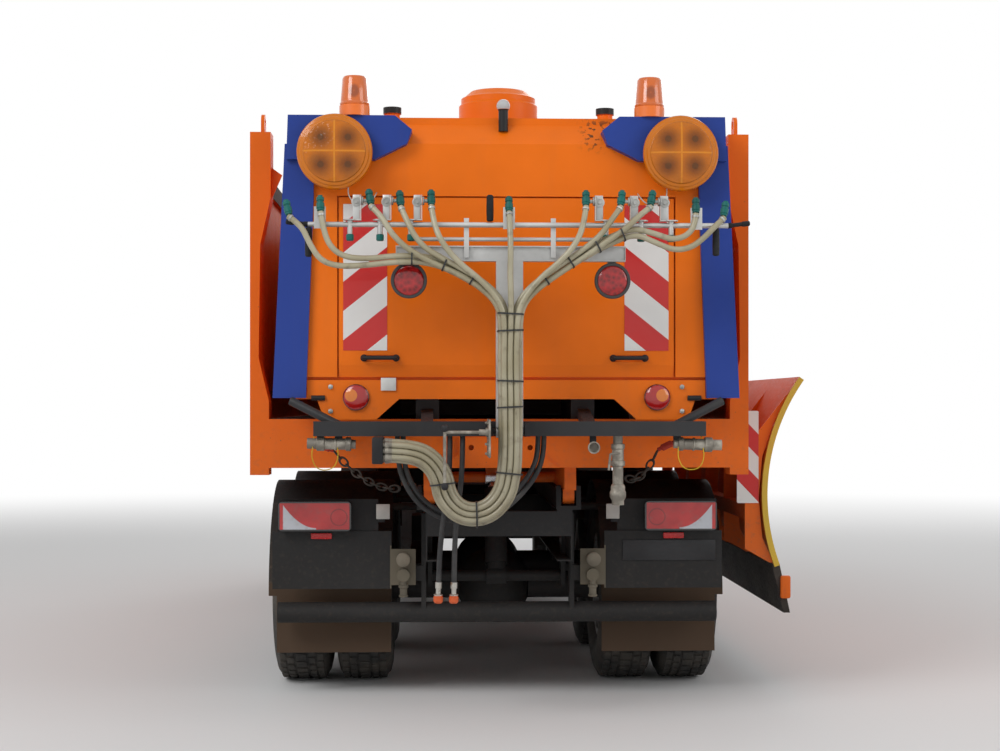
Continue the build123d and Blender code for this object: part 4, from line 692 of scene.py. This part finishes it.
dress(glass.material, "windscreen", "door_glass_left", "door_glass_right")
lamp_glass = Surface("headlamp_glass")
flutes = lamp_glass.x.ripple(0.022)
lamp_glass.close(lamp_glass.mix(lamp_glass.noise(5, 3), (0.5, 0.53, 0.55), (0.72, 0.74, 0.75)),
                 lamp_glass.noise(30, 2) * 0.05 + 0.06, flutes, 0.01, Metallic=0.6, Coat_Weight=0.8,
                 Coat_Roughness=0.03)
dress(lamp_glass.material, "headlamps")
for side, hand in SIDES:
    x = side * 1.168
    rod("door_handle_" + hand, [(side * 1.148, 3.09, 1.7), (x, 3.09, 1.706), (x, 3.27, 1.716),
                                (side * 1.148, 3.27, 1.722)],
        0.011, black_trim, "door_" + hand, "dark_plastic", 0.012)
    rod("step_rail_" + hand, [(side * 1.148, 2.935, 1.55), (side * 1.185, 2.935, 1.58), (side * 1.185, 2.935, 2.25),
                              (side * 1.148, 2.935, 2.28)], 0.014, *CAB_TRIM, 0.03)
for index, x in enumerate((-0.8, -0.05)):
    rod("wiper_arm_%d" % index, [(x, 4.045, 1.735), (x, 4.072, 1.765), (x + 0.2, 4.046, 1.99),
                                 (x + 0.36, 4.028, 2.16)],
        0.008, *CAB_TRIM, 0.02)
    rod("wiper_blade_%d" % index, [(x + 0.18, 4.03, 1.86), (x + 0.36, 4.018, 2.16), (x + 0.52, 4.002, 2.44)], 0.007,
        *CAB_TRIM)
MARKER = ((0.034, 0), (0.034, 0.01), (0.028, 0.026), (0.012, 0.034))
marker_amber = plain("marker_amber", (0.85, 0.26, 0.01), 0.2, Coat_Weight=0.4)
AMBER_MARKER = (marker_amber, "chassis", "amber_lens")
for side, hand in SIDES:
    turned("side_indicator_" + hand, MARKER, (side * 1.149, 3.955, 1.33), (side, 0, 0), *AMBER_MARKER, 24)
for index, x in enumerate((-0.85, -0.28, 0.28, 0.85)):
    turned("roof_marker_%d" % index, MARKER, (x, 3.78, 2.949), UPWARDS, *AMBER_MARKER, 24)

# Seats
# Foam cushions in woven cloth with stitched flutes, a pan, a back and a head rest on the frame of each of the
# two seats.
cloth = Surface("seat_cloth")
threads = cloth.x.ripple(0.003) + (cloth.z + cloth.y).ripple(0.003)
flute = cloth.x.ripple(0.0625)
woven = cloth.mix(cloth.noise(30, 3), (0.05, 0.05, 0.06), (0.085, 0.085, 0.1))
# The stitched flute creases are painted near black: painted shade in the creases.
cloth.close(cloth.mix(cloth.ramp(flute, 0.002, 0.006), (0.02, 0.02, 0.022), woven),
            cloth.noise(60, 2) * 0.05 + 0.88, cloth.ramp(flute, 0, 0.01) * 4 + threads * 100, 0.0012,
            Sheen_Weight=0.3)
dress(cloth.material, "seats")


def cushion(name, centre, size, tilt):
    """A stuffed cushion: a block divided finely, relaxed until its edges swell, then brought back to its size."""
    piece = cube(size)
    open_mesh()
    bpy.ops.mesh.subdivide(number_cuts=11)
    bpy.ops.mesh.vertices_smooth(factor=0.5, repeat=7)
    close_mesh()
    piece.scale = [wanted / now for wanted, now in zip(size, piece.dimensions)]
    bpy.ops.object.transform_apply(location=False, rotation=False)
    piece.rotation_euler = (tilt, 0, 0)
    piece.location = centre
    finished(name, cloth.material, "chassis", smooth=80)
    return piece


for side, hand in SIDES:
    cushion("seat_pan_" + hand, (side * 0.56, 2.665, 1.632), (0.49, 0.52, 0.1), 0.03)
    cushion("seat_back_" + hand, (side * 0.56, 2.49, 2.015), (0.47, 0.1, 0.7), 0.13)
    cushion("head_rest_" + hand, (side * 0.56, 2.395, 2.465), (0.28, 0.1, 0.17), 0.1)

# Tipping bed
# Folded sheet steel in orange gloss, scratched by loads and dusty along the sill. Two lashing chains hang
# from its sill to the unit's beam, each with a red tensioner.
bed_orange = paint("bed_orange", ORANGE, grime=0.6, chips=0.6)
dress(bed_orange, "bed_rear_frame")


# The walls' inner faces above 1.5 m are painted near black: painted shade inside the bed.
def inner_wall_shade(surface):
    return (1 - surface.ramp(abs(surface.x), 1.221, 1.224)) * surface.ramp(surface.z, 1.49, 1.5)


dress(paint("bed_lined", ORANGE, grime=0.6, chips=0.6, marks=[(inner_wall_shade, (0.018, 0.015, 0.014), 0.75)]), "bed_body",
      "bed_walls")
chrome = plain("chrome", (0.78, 0.78, 0.8), 0.12, 1)
dress(chrome, "hoist_rod", "brace_rod")
chain_steel = plain("chain_steel", (0.045, 0.038, 0.033), 0.5, 0.6, variation=0.5)
bpy.ops.object.select_all(action="DESELECT")
bpy.ops.mesh.primitive_torus_add(major_radius=0.0165, minor_radius=0.0048, major_segments=20, minor_segments=8)
link_master = bpy.context.object
link_master.scale = (1.5, 1, 1)
bpy.ops.object.transform_apply(location=False, rotation=False)
CHAINS = (("left", (-0.835, 1.352), (-0.52, 1.165)), ("right", (0.775, 1.356), (0.625, 1.215)))
CHAIN_DEPTH = -3.83
LINK_PITCH = 0.036
SAG = 0.05
tensioner_red = plain("tensioner_red", (0.36, 0.03, 0.015), 0.5)
for name, start, end in CHAINS:
    run = Vector(end) - Vector(start)
    count = round(run.length / LINK_PITCH)
    links = []
    for index in range(count):
        share = (index + 0.5) / count
        sag = -4 * SAG * share * (1 - share)
        slope = math.atan2(run.y - 4 * SAG * (1 - 2 * share), run.x)
        only(link_master)
        bpy.ops.object.duplicate()
        piece = bpy.context.object
        spot = Vector(start) + run * share
        piece.location = (spot.x, CHAIN_DEPTH, spot.y + sag)
        piece.rotation_euler = (math.pi / 2 * (index % 2), -slope, 0)
        bpy.ops.object.transform_apply()
        links.append(piece)
    for piece in links:
        piece.select_set(True)
    bpy.context.view_layer.objects.active = links[0]
    bpy.ops.object.join()
    finished("lashing_chain_" + name, chain_steel, "bed", smooth=60)
    side = -1 if start[0] < 0 else 1
    turned("tensioner_" + name, ((0.01, 0), (0.01, 0.02), (0.017, 0.024), (0.017, 0.075), (0.01, 0.08),
                                 (0.01, 0.105)), (start[0], CHAIN_DEPTH, start[1]), (side * 0.9, 0, 0.42),
           tensioner_red, "bed", "marker_red", 20)
bpy.data.objects.remove(link_master)


# Spray unit
# Moulded housing and tank in bright orange. The hatch has two pull handles, rust has broken through near
# the right roof corner, and a blank white plate sits under the left board.
def rusted(surface):
    spots = surface.noise(42, 4, low=0.54, high=0.6)
    return spots * inside(surface.x, 0.42, 0.7, 0.05) * inside(surface.z, 2.87, 3.02, 0.04)


UNIT_ORANGE = (0.86, 0.168, 0.004)
UNIT_FILM = {"film_low": 1.3, "film_high": 1.8}
dress(paint("unit_orange", UNIT_ORANGE, **UNIT_FILM, grime=0.35, marks=[(rusted, (0.1, 0.045, 0.022), 0.8)]),
      "unit_housing")
hatch_orange = paint("hatch_orange", UNIT_ORANGE, **UNIT_FILM, grime=0.35)
dress(hatch_orange, "unit_hatch", "tank")


def on_stalk(surface):
    return inside(surface.x, -0.03, 0.048) * inside(surface.y, -3.74, -3.66)


def roof_black(surface):
    caps = inside(abs(surface.x + 0.0055), 0.48, 0.62) * surface.ramp(surface.z, 3.083, 3.087)
    return (caps + on_stalk(surface) * (1 - surface.ramp(surface.z, 3.07, 3.074))).least(1)


def roof_silver(surface):
    return on_stalk(surface) * surface.ramp(surface.z, 3.071, 3.075)


dress(paint("roof_orange", UNIT_ORANGE, **UNIT_FILM, grime=0.4,
            marks=[(roof_black, (0.02, 0.02, 0.02), 0.4), (roof_silver, (0.5, 0.5, 0.5), 0.12)]), "roof_fittings")
dress(paint("column_blue", (0.02, 0.05, 0.27), grime=0.25, gloss=0.34), "unit_columns")
dress(paint("beam_grey", (0.036, 0.036, 0.038), film=(0.12, 0.1, 0.08), film_high=1.5, grime=0.45, gloss=0.42),
      "unit_base_frame")
boards = Surface("marker_boards")
slant = boards.z + abs(boards.x - UNIT_X) * 0.8
red_part = (slant + 0.215).wrap(0.292)
stripes = boards.ramp(red_part, 0.144, 0.148)
boards.close(boards.mix(stripes, (0.56, 0.012, 0.01), (0.74, 0.73, 0.71)), boards.noise(30, 3) * 0.1 + 0.3,
             boards.cells(900), 0.0001, Coat_Weight=0.2)
dress(boards.material, "marker_boards")
for name, x in (("left", (-0.69, -0.53)), ("right", (0.56, 0.72))):
    rod("hatch_handle_" + name, [(x[0], -3.757, 1.815), (x[0], -3.8, 1.815), (x[1], -3.8, 1.815),
                                 (x[1], -3.757, 1.815)],
        0.0105, *BED_TRIM, 0.02)
    for index, end in enumerate(x):
        turned("handle_foot_%s_%d" % (name, index), ((0.018, 0), (0.018, 0.006), (0.013, 0.012)),
               (end, -3.757, 1.815), BACKWARDS, *BED_TRIM, 24)
plate_white = plain("blank_plate", (0.66, 0.66, 0.64), 0.4)
block("blank_plate", (-0.606, -0.53), (-3.768, -3.758), (1.652, 1.716), plate_white, "bed", "rim_steel", 0.0015)
BOLTS = [(side * 0.882 + UNIT_X, z) for side in (-1, 1) for z in (1.549, 1.671)]
for side, hand in SIDES:
    x = UNIT_X + side * 0.944
    rod("panel_latch_" + hand, [(x - 0.034, -3.762, 1.615), (x + 0.034, -3.762, 1.615)], 0.013, *BED_TRIM)
for index, (x, z) in enumerate(BOLTS):
    turned("panel_bolt_%d" % index, ((0.013, 0), (0.013, 0.003), (0.009, 0.004), (0.009, 0.01), (0.006, 0.0115)),
           (x, -3.76, z), BACKWARDS, *BED_ZINC, 6)
HOOP = ((-1.02, 1.62), (-1.022, 2.752), (-0.762, 3.01), (0.812, 3.01), (1.072, 2.752), (1.07, 1.62))
for index in range(6):
    y = -2.68 + index * 0.7
    rod("tank_hoop_%d" % index, [(x, y, z) for x, z in HOOP], 0.017, hatch_orange, "bed", "orange_paint", 0.07)

# Warning lamps
# Amber acrylic bowls 374 mm across, moulded in four quadrants with a reflector in each. Two rotating
# beacons stand above them, and two red and orange round lamps sit in the lower panel.

# Where each pair of lamps stands: the middle between them, how far out each is, and its height
AMBER_MIDDLE, AMBER_OUT, AMBER_Z = 0.0275, 0.8575, 2.83
BEACON_MIDDLE, BEACON_OUT, BEACON_Z = 0.002, 0.739, 3.02
ROUND_MIDDLE, ROUND_OUT, ROUND_Z = 0.0255, 0.7555, 1.618
amber = Surface("amber_lens")
out = abs(amber.x - AMBER_MIDDLE) - AMBER_OUT
up = amber.z - AMBER_Z
quadrant = distance(amber, abs(out) - 0.067, abs(up) - 0.067)
# Each quadrant is painted darker towards its centre and lighter towards its edge: painted shade and reflection of its
# reflector.
bowl_shade = amber.ramp(quadrant, 0.01, 0.085)
core = 1 - amber.ramp(quadrant, 0.013, 0.019)
cross = 1 - amber.ramp(abs(out).least(abs(up)), 0.002, 0.006)
front = 1 - amber.ramp(distance(amber, out, up), 0.15, 0.156)
hue = amber.mix(bowl_shade, (0.2, 0.05, 0.001), (0.56, 0.15, 0.002))
hue = amber.mix(core * 0.75, hue, (0.1, 0.035, 0.004))
hue = amber.mix(cross * 0.6, hue, (0.8, 0.3, 0.015))
hue = amber.mix(front, (0.6, 0.165, 0.003), hue)
facets = amber.cells(62) * 0.5 + bowl_shade
hue = amber.mix(amber.noise(14, 4, low=0.5, high=0.8) * 0.3, hue, (0.3, 0.12, 0.02))
amber.close(hue, amber.noise(30, 2) * 0.08 + 0.1,
            facets * front, 0.004, Coat_Weight=0.15, Coat_Roughness=0.04, Specular_IOR_Level=0.3)
AMBER_BOWL = ((0.118, 0), (0.122, 0.004), (0.165, 0.018), (0.184, 0.024), (0.187, 0.03), (0.187, 0.06),
              (0.183, 0.066), (0.172, 0.069), (0.168, 0.074), (0.12, 0.086), (0.06, 0.091), (0.004, 0.092))
beacon = Surface("beacon")
neck = 1 - beacon.ramp(beacon.z, 3.073, 3.075)
ribs = beacon.z.ripple(0.011)
bulb = distance(beacon, abs(beacon.x - BEACON_MIDDLE) - BEACON_OUT, (beacon.z - BEACON_Z - 0.12) * 0.8)
whirl = inside(bulb, 0, 0.026, 0.008)
beacon.close(beacon.mix(neck, beacon.mix(whirl * 0.75, (0.66, 0.125, 0.002), (0.22, 0.035, 0.001)), UNIT_ORANGE),
             beacon.noise(30, 2) * 0.06 + 0.12 + neck * 0.2, ribs * (1 - neck), 0.02, Coat_Weight=0.5,
             Coat_Roughness=0.05)
BEACON = ((0.076, 0), (0.076, 0.052), (0.072, 0.055), (0.0735, 0.058), (0.0735, 0.066), (0.07, 0.07), (0.061, 0.188),
          (0.054, 0.199), (0.03, 0.202), (0.004, 0.203))
round_red = Surface("round_lamp")
beyond = abs(round_red.x - ROUND_MIDDLE) - ROUND_OUT
hub = distance(round_red, beyond, round_red.z - ROUND_Z)
rim = round_red.ramp(hub, 0.06, 0.0615)
sector = 1 - round_red.ramp(distance(round_red, beyond - 0.024, round_red.z - ROUND_Z - 0.01), 0.03, 0.032)
mesh_ribs = hub.ripple(0.007)
lens = round_red.mix(sector, (0.42, 0.008, 0.008), (0.72, 0.18, 0.006))
round_red.close(round_red.mix(rim, lens, (0.1, 0.006, 0.006)),
                round_red.noise(30, 2) * 0.06 + 0.12, mesh_ribs * (1 - rim), 0.01, Coat_Weight=0.5,
                Coat_Roughness=0.05)
ROUND_LAMP = ((0.0655, -0.018), (0.0655, 0.01), (0.061, 0.014), (0.058, 0.017), (0.032, 0.023), (0.003, 0.0245))
# Each pair: its name, outline, middle, place out from it, depth, height, direction, finish, slot and sides
LAMPS = (("amber_lamp_", AMBER_BOWL, AMBER_MIDDLE, AMBER_OUT, -3.82, AMBER_Z, BACKWARDS, amber, "amber_lens", 96),
         ("beacon_", BEACON, BEACON_MIDDLE, BEACON_OUT, -3.765, BEACON_Z, UPWARDS, beacon, "amber_lens", 64),
         ("round_lamp_", ROUND_LAMP, ROUND_MIDDLE, ROUND_OUT, -3.76, ROUND_Z, BACKWARDS, round_red, "red_lens", 64))
for side, hand in SIDES:
    for name, outline, middle, apart, y, z, aim, surface, slot, sides in LAMPS:
        lamp = turned(name + hand, outline, (middle + side * apart, y, z), aim, surface.material, "bed", slot, sides)
        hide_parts("unit_lamps")

# Fittings on the beam
# Zinc-plated steel: the manifold that takes the spray hoses, a cranked shaft that locks the boom, a drain
# valve, and a pipe coupling at each end. Salt has left a white bloom and rust on them.
fitting = Surface("old_zinc")
bloom = fitting.noise(18, 4, low=0.45, high=0.7)
fitting.close(fitting.mix(bloom, (0.2, 0.18, 0.15), (0.4, 0.37, 0.31)), fitting.noise(40, 3) * 0.2 + 0.4,
              fitting.noise(80, 3), 0.0005, Metallic=0.35)
fitting = fitting.material
FITTING = (fitting, "bed", "rim_steel")
block("hose_manifold", (-0.632, -0.58), (-4.246, -3.99), (1.3, 1.427), *BED_BLACK, 0.006)
for name, (*_, layer, column) in HOSES.items():
    end = beside(LOOP, column * HOSE_PITCH)[-1]
    turned("hose_tail_" + name, ((0.0115, 0), (0.0115, 0.01), (0.017, 0.012), (0.017, 0.03), (0.015, 0.032),
                                 (0.015, 0.046)), (-0.584, HOSE_DEPTHS[layer], end.y), (1, 0, 0), *FITTING, 24)
CRANK_DEPTH = -4.262
BEAM_DEPTH = -3.955
rod("crank", [(-0.08, CRANK_DEPTH, 1.451), (-0.288, CRANK_DEPTH, 1.451), (-0.288, CRANK_DEPTH, 1.205)], 0.008,
    *FITTING, 0.004)
KNOB = ((0.006, 0), (0.014, 0.005), (0.0175, 0.015), (0.0175, 0.021), (0.014, 0.031), (0.005, 0.036))
turned("crank_knob_low", KNOB, (-0.288, CRANK_DEPTH, 1.213), DOWNWARDS, *BED_TRIM, 24)
turned("crank_knob_high", KNOB, (-0.288, CRANK_DEPTH, 1.452), UPWARDS, *BED_TRIM, 24)
turned("crank_bush", ((0.022, 0), (0.022, 0.018), (0.014, 0.02), (0.014, 0.05)), (-0.076, CRANK_DEPTH, 1.451),
       (-1, 0, 0), *FITTING, 32)
block("crank_plate", (-0.082, -0.071), (CRANK_DEPTH - 0.026, -4.004), (1.33, 1.512), *FITTING, 0.004)
for index, z in enumerate((1.35, 1.395, 1.496)):
    turned("crank_bolt_%d" % index, ((0.011, 0), (0.011, 0.009), (0.006, 0.01), (0.006, 0.018)),
           (-0.08, CRANK_DEPTH + 0.004, z), (-1, 0, 0), *FITTING, 6)
VALVE = ((0.024, 0), (0.024, 0.038), (0.034, 0.042), (0.034, 0.062), (0.029, 0.068), (0.029, 0.12), (0.035, 0.124),
         (0.035, 0.146), (0.026, 0.152), (0.026, 0.236), (0.031, 0.24), (0.035, 0.25), (0.035, 0.268), (0.04, 0.276),
         (0.04, 0.3), (0.03, 0.318), (0.03, 0.34))
turned("drain_valve", VALVE, (0.563, BEAM_DEPTH, 1.429), DOWNWARDS, *FITTING, 32)
rod("valve_lever", [(0.563, -3.985, 1.345), (0.563, -4.012, 1.345), (0.52, -4.016, 1.34), (0.512, -4.016, 1.262)],
    0.006, *FITTING, 0.01)
turned("pipe_stub", ((0.024, 0), (0.024, 0.052), (0.03, 0.053), (0.03, 0.0615), (0.0235, 0.062), (0.0225, 0.03)),
       (0.44, -3.958, 1.372), BACKWARDS, *FITTING, 40)
block("stub_strap", (0.424, 0.456), (-3.968, -3.944), (1.372, 1.429), *BED_BLACK)
COUPLER = ((0.022, 0), (0.022, 0.02), (0.034, 0.024), (0.034, 0.046), (0.028, 0.05), (0.028, 0.092), (0.033, 0.095),
           (0.033, 0.102), (0.028, 0.105), (0.028, 0.15), (0.036, 0.154), (0.036, 0.188), (0.026, 0.194),
           (0.026, 0.236))
turned("coupler_left", COUPLER, (-0.722, BEAM_DEPTH, 1.388), (-1, 0, 0.02), *FITTING, 32)
turned("coupler_right", COUPLER, (0.838, BEAM_DEPTH, 1.39), (1, 0, -0.03), *FITTING, 32)
for side, hand in SIDES:
    x = UNIT_X + side * 0.83
    block("coupler_strap_" + hand, (x - 0.018, x + 0.018), (-3.966, -3.944), (1.405, 1.43), *BED_BLACK, 0.002)
yellow = plain("yellow_cable", (0.5, 0.33, 0.02), 0.5)
# A cable's points, with x from its own middle
CABLE = ((-0.055, -3.955, 1.426), (-0.06, -3.975, 1.38), (-0.066, -3.985, 1.32), (-0.035, -3.995, 1.262),
         (0.04, -3.995, 1.266), (0.066, -3.985, 1.322), (0.06, -3.975, 1.38), (0.055, -3.955, 1.426))
for side, hand in SIDES:
    points = [(UNIT_X + side * 0.895 + x, y, z) for x, y, z in CABLE]
    run_hose("pull_cable_" + hand, points, 0.0025, yellow)

# Spray boom
# Galvanised steel mast, channel and spray tube. Nozzle bodies of teal nylon stand on their brackets, each
# over the end of its hose, with black rubber grips and two red lamps below the channel.
galvanised = Surface("galvanised")
spangle = galvanised.cells(46)
tone = galvanised.noise(3, 4, low=0.3, high=0.7)
galvanised.close(galvanised.mix(tone, (0.4, 0.4, 0.39), (0.6, 0.6, 0.585)), spangle * 0.25 + 0.34, spangle, 0.00008,
                 Metallic=0.7)
dress(galvanised.material, "boom_mast", "spray_bar")
GALVANISED = (galvanised.material, "boom", "rim_steel")
dress(paint("tank_alloy", (0.45, 0.46, 0.47), film_low=0.5, film_high=1.2, grime=0.6), "fuel_tank")
TUBE_DEPTH = -4.11
nylon = plain("nozzle_nylon", (0.006, 0.115, 0.1), 0.38, variation=0.35)
NYLON = (nylon, "boom", "nozzle_plastic")
grip_rubber = plain("grip_rubber", (0.013, 0.013, 0.014), 0.62)
GRIP = (grip_rubber, "boom", "dark_plastic")
NOZZLE = ((0.0085, 0), (0.0085, 0.012), (0.0165, 0.014), (0.0165, 0.024), (0.0195, 0.026), (0.0195, 0.052),
          (0.015, 0.055), (0.015, 0.062), (0.0185, 0.064), (0.0185, 0.08), (0.012, 0.084), (0.012, 0.09))
for name, (free, *_) in HOSES.items():
    x, z = free[0]
    start = Vector((x, NOZZLE_DEPTH, z))
    ahead = (Vector(hose_line(name)[1]) - start).normalized()
    body = turned("nozzle_" + name, NOZZLE, start + ahead * 0.01, Vector((0, 0.3, 1)) - ahead * 0.35, *NYLON, 32)
    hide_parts("boom_fittings")
    turned("hose_clip_" + name, ((0.0172, 0), (0.0172, 0.009)), start + ahead * 0.012, ahead, *BOOM_ZINC, 32)
BRACKETS = ((-0.742, 1), (-0.598, 1), (-0.45, 1), (0.489, -1), (0.659, -1), (0.804, -1))
for index, (x, side) in enumerate(BRACKETS):
    turned("bracket_knob_%d" % index, ((0.01, 0), (0.019, 0.004), (0.019, 0.03), (0.014, 0.034)),
           (x, TUBE_DEPTH, 2.401), DOWNWARDS, *NYLON, 10)
    face = x + side * 0.03
    block("bracket_plate_%d" % index, (face - 0.017, face + 0.017), (-4.104, -4.1), (2.47, 2.59), *GALVANISED, 0.0015)
    turned("bracket_ring_%d" % index, ((0.024, 0), (0.024, 0.003), (0.017, 0.004), (0.017, 0.0015), (0.008, 0.001),
                                       (0.008, 0.009)), (face, -4.104, 2.556), BACKWARDS, *BOOM_ZINC, 28)
    edge = x + side * 0.056
    turned("bracket_boss_%d" % index, ((0.021, 0), (0.021, 0.007), (0.009, 0.009), (0.009, 0.03)),
           (edge, TUBE_DEPTH, 2.56), (side, 0, 0), *BOOM_ZINC, 24)
for name, x, low, high in (("left", -0.94, 2.29, 2.432), ("right", 1.022, 2.3, 2.434),
                           ("middle", -0.07, 2.462, 2.59)):
    tall = high - low
    stations = ((0.011, 0), (0.0165, 0.006), (0.0175, tall * 0.4), (0.0165, tall - 0.008), (0.011, tall))
    turned("grip_" + name, stations, (x, -4.112, low), UPWARDS, *GRIP, 28)
for name, x, side in (("left", -0.944, -1), ("right", 1.082, 1)):
    turned("tube_end_" + name, ((0.0132, 0), (0.0132, 0.016), (0.01, 0.02), (0.01, 0.066), (0.013, 0.07),
                                (0.013, 0.1), (0.009, 0.105)), (x, TUBE_DEPTH, 2.446), (side, 0, 0.12), *GRIP, 24)
LAMP_MIDDLE, LAMP_OUT, LAMP_Z = 0.0315, 0.4915, 2.18
boom_lamp = Surface("boom_lamp")
bowl_reach = distance(boom_lamp, abs(boom_lamp.x - LAMP_MIDDLE) - LAMP_OUT, boom_lamp.z - LAMP_Z)
casing = boom_lamp.ramp(bowl_reach, 0.0705, 0.072)
circles = bowl_reach.ripple(0.009)
star = boom_lamp.cells(48, stretch=(1, 0.1, 1))
lens = boom_lamp.mix(star, (0.12, 0.003, 0.003), (0.52, 0.01, 0.012))
boom_lamp.close(boom_lamp.mix(casing, lens, (0.015, 0.014, 0.014)),
                boom_lamp.noise(30, 2) * 0.1 + 0.12 + casing * 0.4, circles * (1 - casing), 0.008, Coat_Weight=0.4,
                Coat_Roughness=0.06)
BOOM_LAMP = ((0.05, -0.022), (0.074, -0.012), (0.086, 0.006), (0.0875, 0.03), (0.084, 0.034), (0.0735, 0.0345),
             (0.0715, 0.03), (0.06, 0.036), (0.03, 0.04), (0.003, 0.041))
for side, name in SIDES:
    x = LAMP_MIDDLE + side * LAMP_OUT
    lamp = turned("boom_lamp_" + name, BOOM_LAMP, (x, -4.06, LAMP_Z), BACKWARDS, boom_lamp.material, "boom",
                  "red_lens", 64)
    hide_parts("boom_fittings")
    block("boom_lamp_stay_" + name, (x - 0.021, x + 0.021), (-4.048, -4.042), (2.15, 2.274), *GALVANISED, 0.002)
lamp_wire = plain("lamp_wire", (0.55, 0.54, 0.5), 0.5)
# A wire's points, with x outwards from its own middle
WIRE = ((0.09, -3.838, 2.672), (0.098, -3.846, 2.625), (0.06, -3.85, 2.575), (-0.01, -3.848, 2.578),
        (-0.04, -3.835, 2.612), (-0.045, -3.77, 2.64))
for side, hand in SIDES:
    points = [(AMBER_MIDDLE + side * (0.7 + x), y, z) for x, y, z in WIRE]
    run_hose("lamp_wire_" + hand, points, 0.003, lamp_wire)

# Wing plough
# Rolled steel mouldboard in orange, scuffed along its foot, on a black mast and carriage. The cutting
# blade is worn bare steel, and the rear end carries a striped board and a yellow edge.
dress(paint("plough_orange", (0.76, 0.132, 0.006), film_low=0.4, film_high=1.6, grime=0.7, chips=1), "mouldboard")
dress(paint("plough_black", BLACK, film=(0.12, 0.09, 0.07), film_high=1.4, grime=0.8, gloss=0.5, chips=0.6),
      "wing_mast", "wing_carrier", "brace_barrel")
dress(plain("worn_blade", (0.045, 0.038, 0.033), 0.5, 0.5, variation=0.5), "plough_blade")
ends = Surface("plough_markers")
fall = ends.z + ends.x * 1.05
board_stripe = ends.ramp((fall + 0.1595).wrap(0.2455), 0.121, 0.125)
strip = ends.ramp(ends.x, 1.425, 1.43)
ends.close(ends.mix(strip, ends.mix(board_stripe, (0.52, 0.012, 0.01), (0.7, 0.69, 0.67)), (0.62, 0.4, 0.03)),
           ends.noise(30, 3) * 0.1 + 0.35, ends.noise(200, 2), 0.0001)
dress(ends.material, "plough_markers")
block("blade_guard", (1.536, 1.592), (-3.116, -3.089), (0.53, 0.655), paint("guard_orange", ORANGE, grime=0.3),
      "wing", "orange_paint", 0.011)
for index in range(12):
    turned("blade_bolt_%d" % index, ((0.017, 0), (0.016, 0.005), (0.01, 0.009)), (1.5605, -2.95 + index * 0.29, 0.64),
           (0.92, 0, 0.2), chain_steel, "wing", "chassis_black", 20)

# The studio
# A pale floor that turns white further out, a white surround, and three large soft lamps: one high on
# the left behind the camera, one on the right and one above the cab.
floor_finish = Surface("studio_floor")
reach = floor_finish.node("ShaderNodeVectorMath", {"operation": "LENGTH"}, {0: floor_finish.place}, "Value")
far = floor_finish.ramp(reach, 8, 20)
floor_finish.close((0.8, 0.8, 0.8), 0.9)
glow = floor_finish.tree.nodes.new("ShaderNodeEmission")
blend = floor_finish.tree.nodes.new("ShaderNodeMixShader")
link = floor_finish.tree.links.new
link(far.socket, blend.inputs[0])
link(floor_finish.shader.outputs[0], blend.inputs[1])
link(glow.outputs[0], blend.inputs[2])
link(blend.outputs[0], floor_finish.tree.nodes["Material Output"].inputs["Surface"])
bpy.ops.mesh.primitive_plane_add(size=120, location=(0, 0, 0))
floor = bpy.context.object
floor.name = "studio_floor"
floor.data.materials.append(floor_finish.material)

surround = bpy.data.worlds.new("surround")
surround.use_nodes = True
scene.world = surround
sky = surround.node_tree
light_path = sky.nodes.new("ShaderNodeLightPath")
seen = light_path.outputs["Is Camera Ray"]
for ray in ("Is Glossy Ray", "Is Transmission Ray"):
    either = sky.nodes.new("ShaderNodeMath")
    either.operation = "MAXIMUM"
    sky.links.new(seen, either.inputs[0])
    sky.links.new(light_path.outputs[ray], either.inputs[1])
    seen = either.outputs[0]
strength = sky.nodes.new("ShaderNodeMapRange")
strength.inputs["To Min"].default_value = 0.42
strength.inputs["To Max"].default_value = 1
sky.links.new(seen, strength.inputs["Value"])
sky.links.new(strength.outputs[0], sky.nodes["Background"].inputs["Strength"])
sky.nodes["Background"].inputs["Color"].default_value = (1, 1, 1, 1)

for name, place, size, power in (("key", (-9, -13, 11), 7, 1050), ("fill", (11, -9, 7), 7, 420),
                                 ("front", (4, 15, 10), 8, 520)):
    lamp = bpy.data.lights.new(name, "AREA")
    lamp.size = size
    lamp.energy = power
    holder = bpy.data.objects.new(name, lamp)
    holder.location = place
    aim = Vector((0, -1.5, 1.6)) - Vector(place)
    holder.rotation_euler = aim.to_track_quat("-Z", "Y").to_euler()
    scene.collection.objects.link(holder)

bpy.context.view_layer.update()
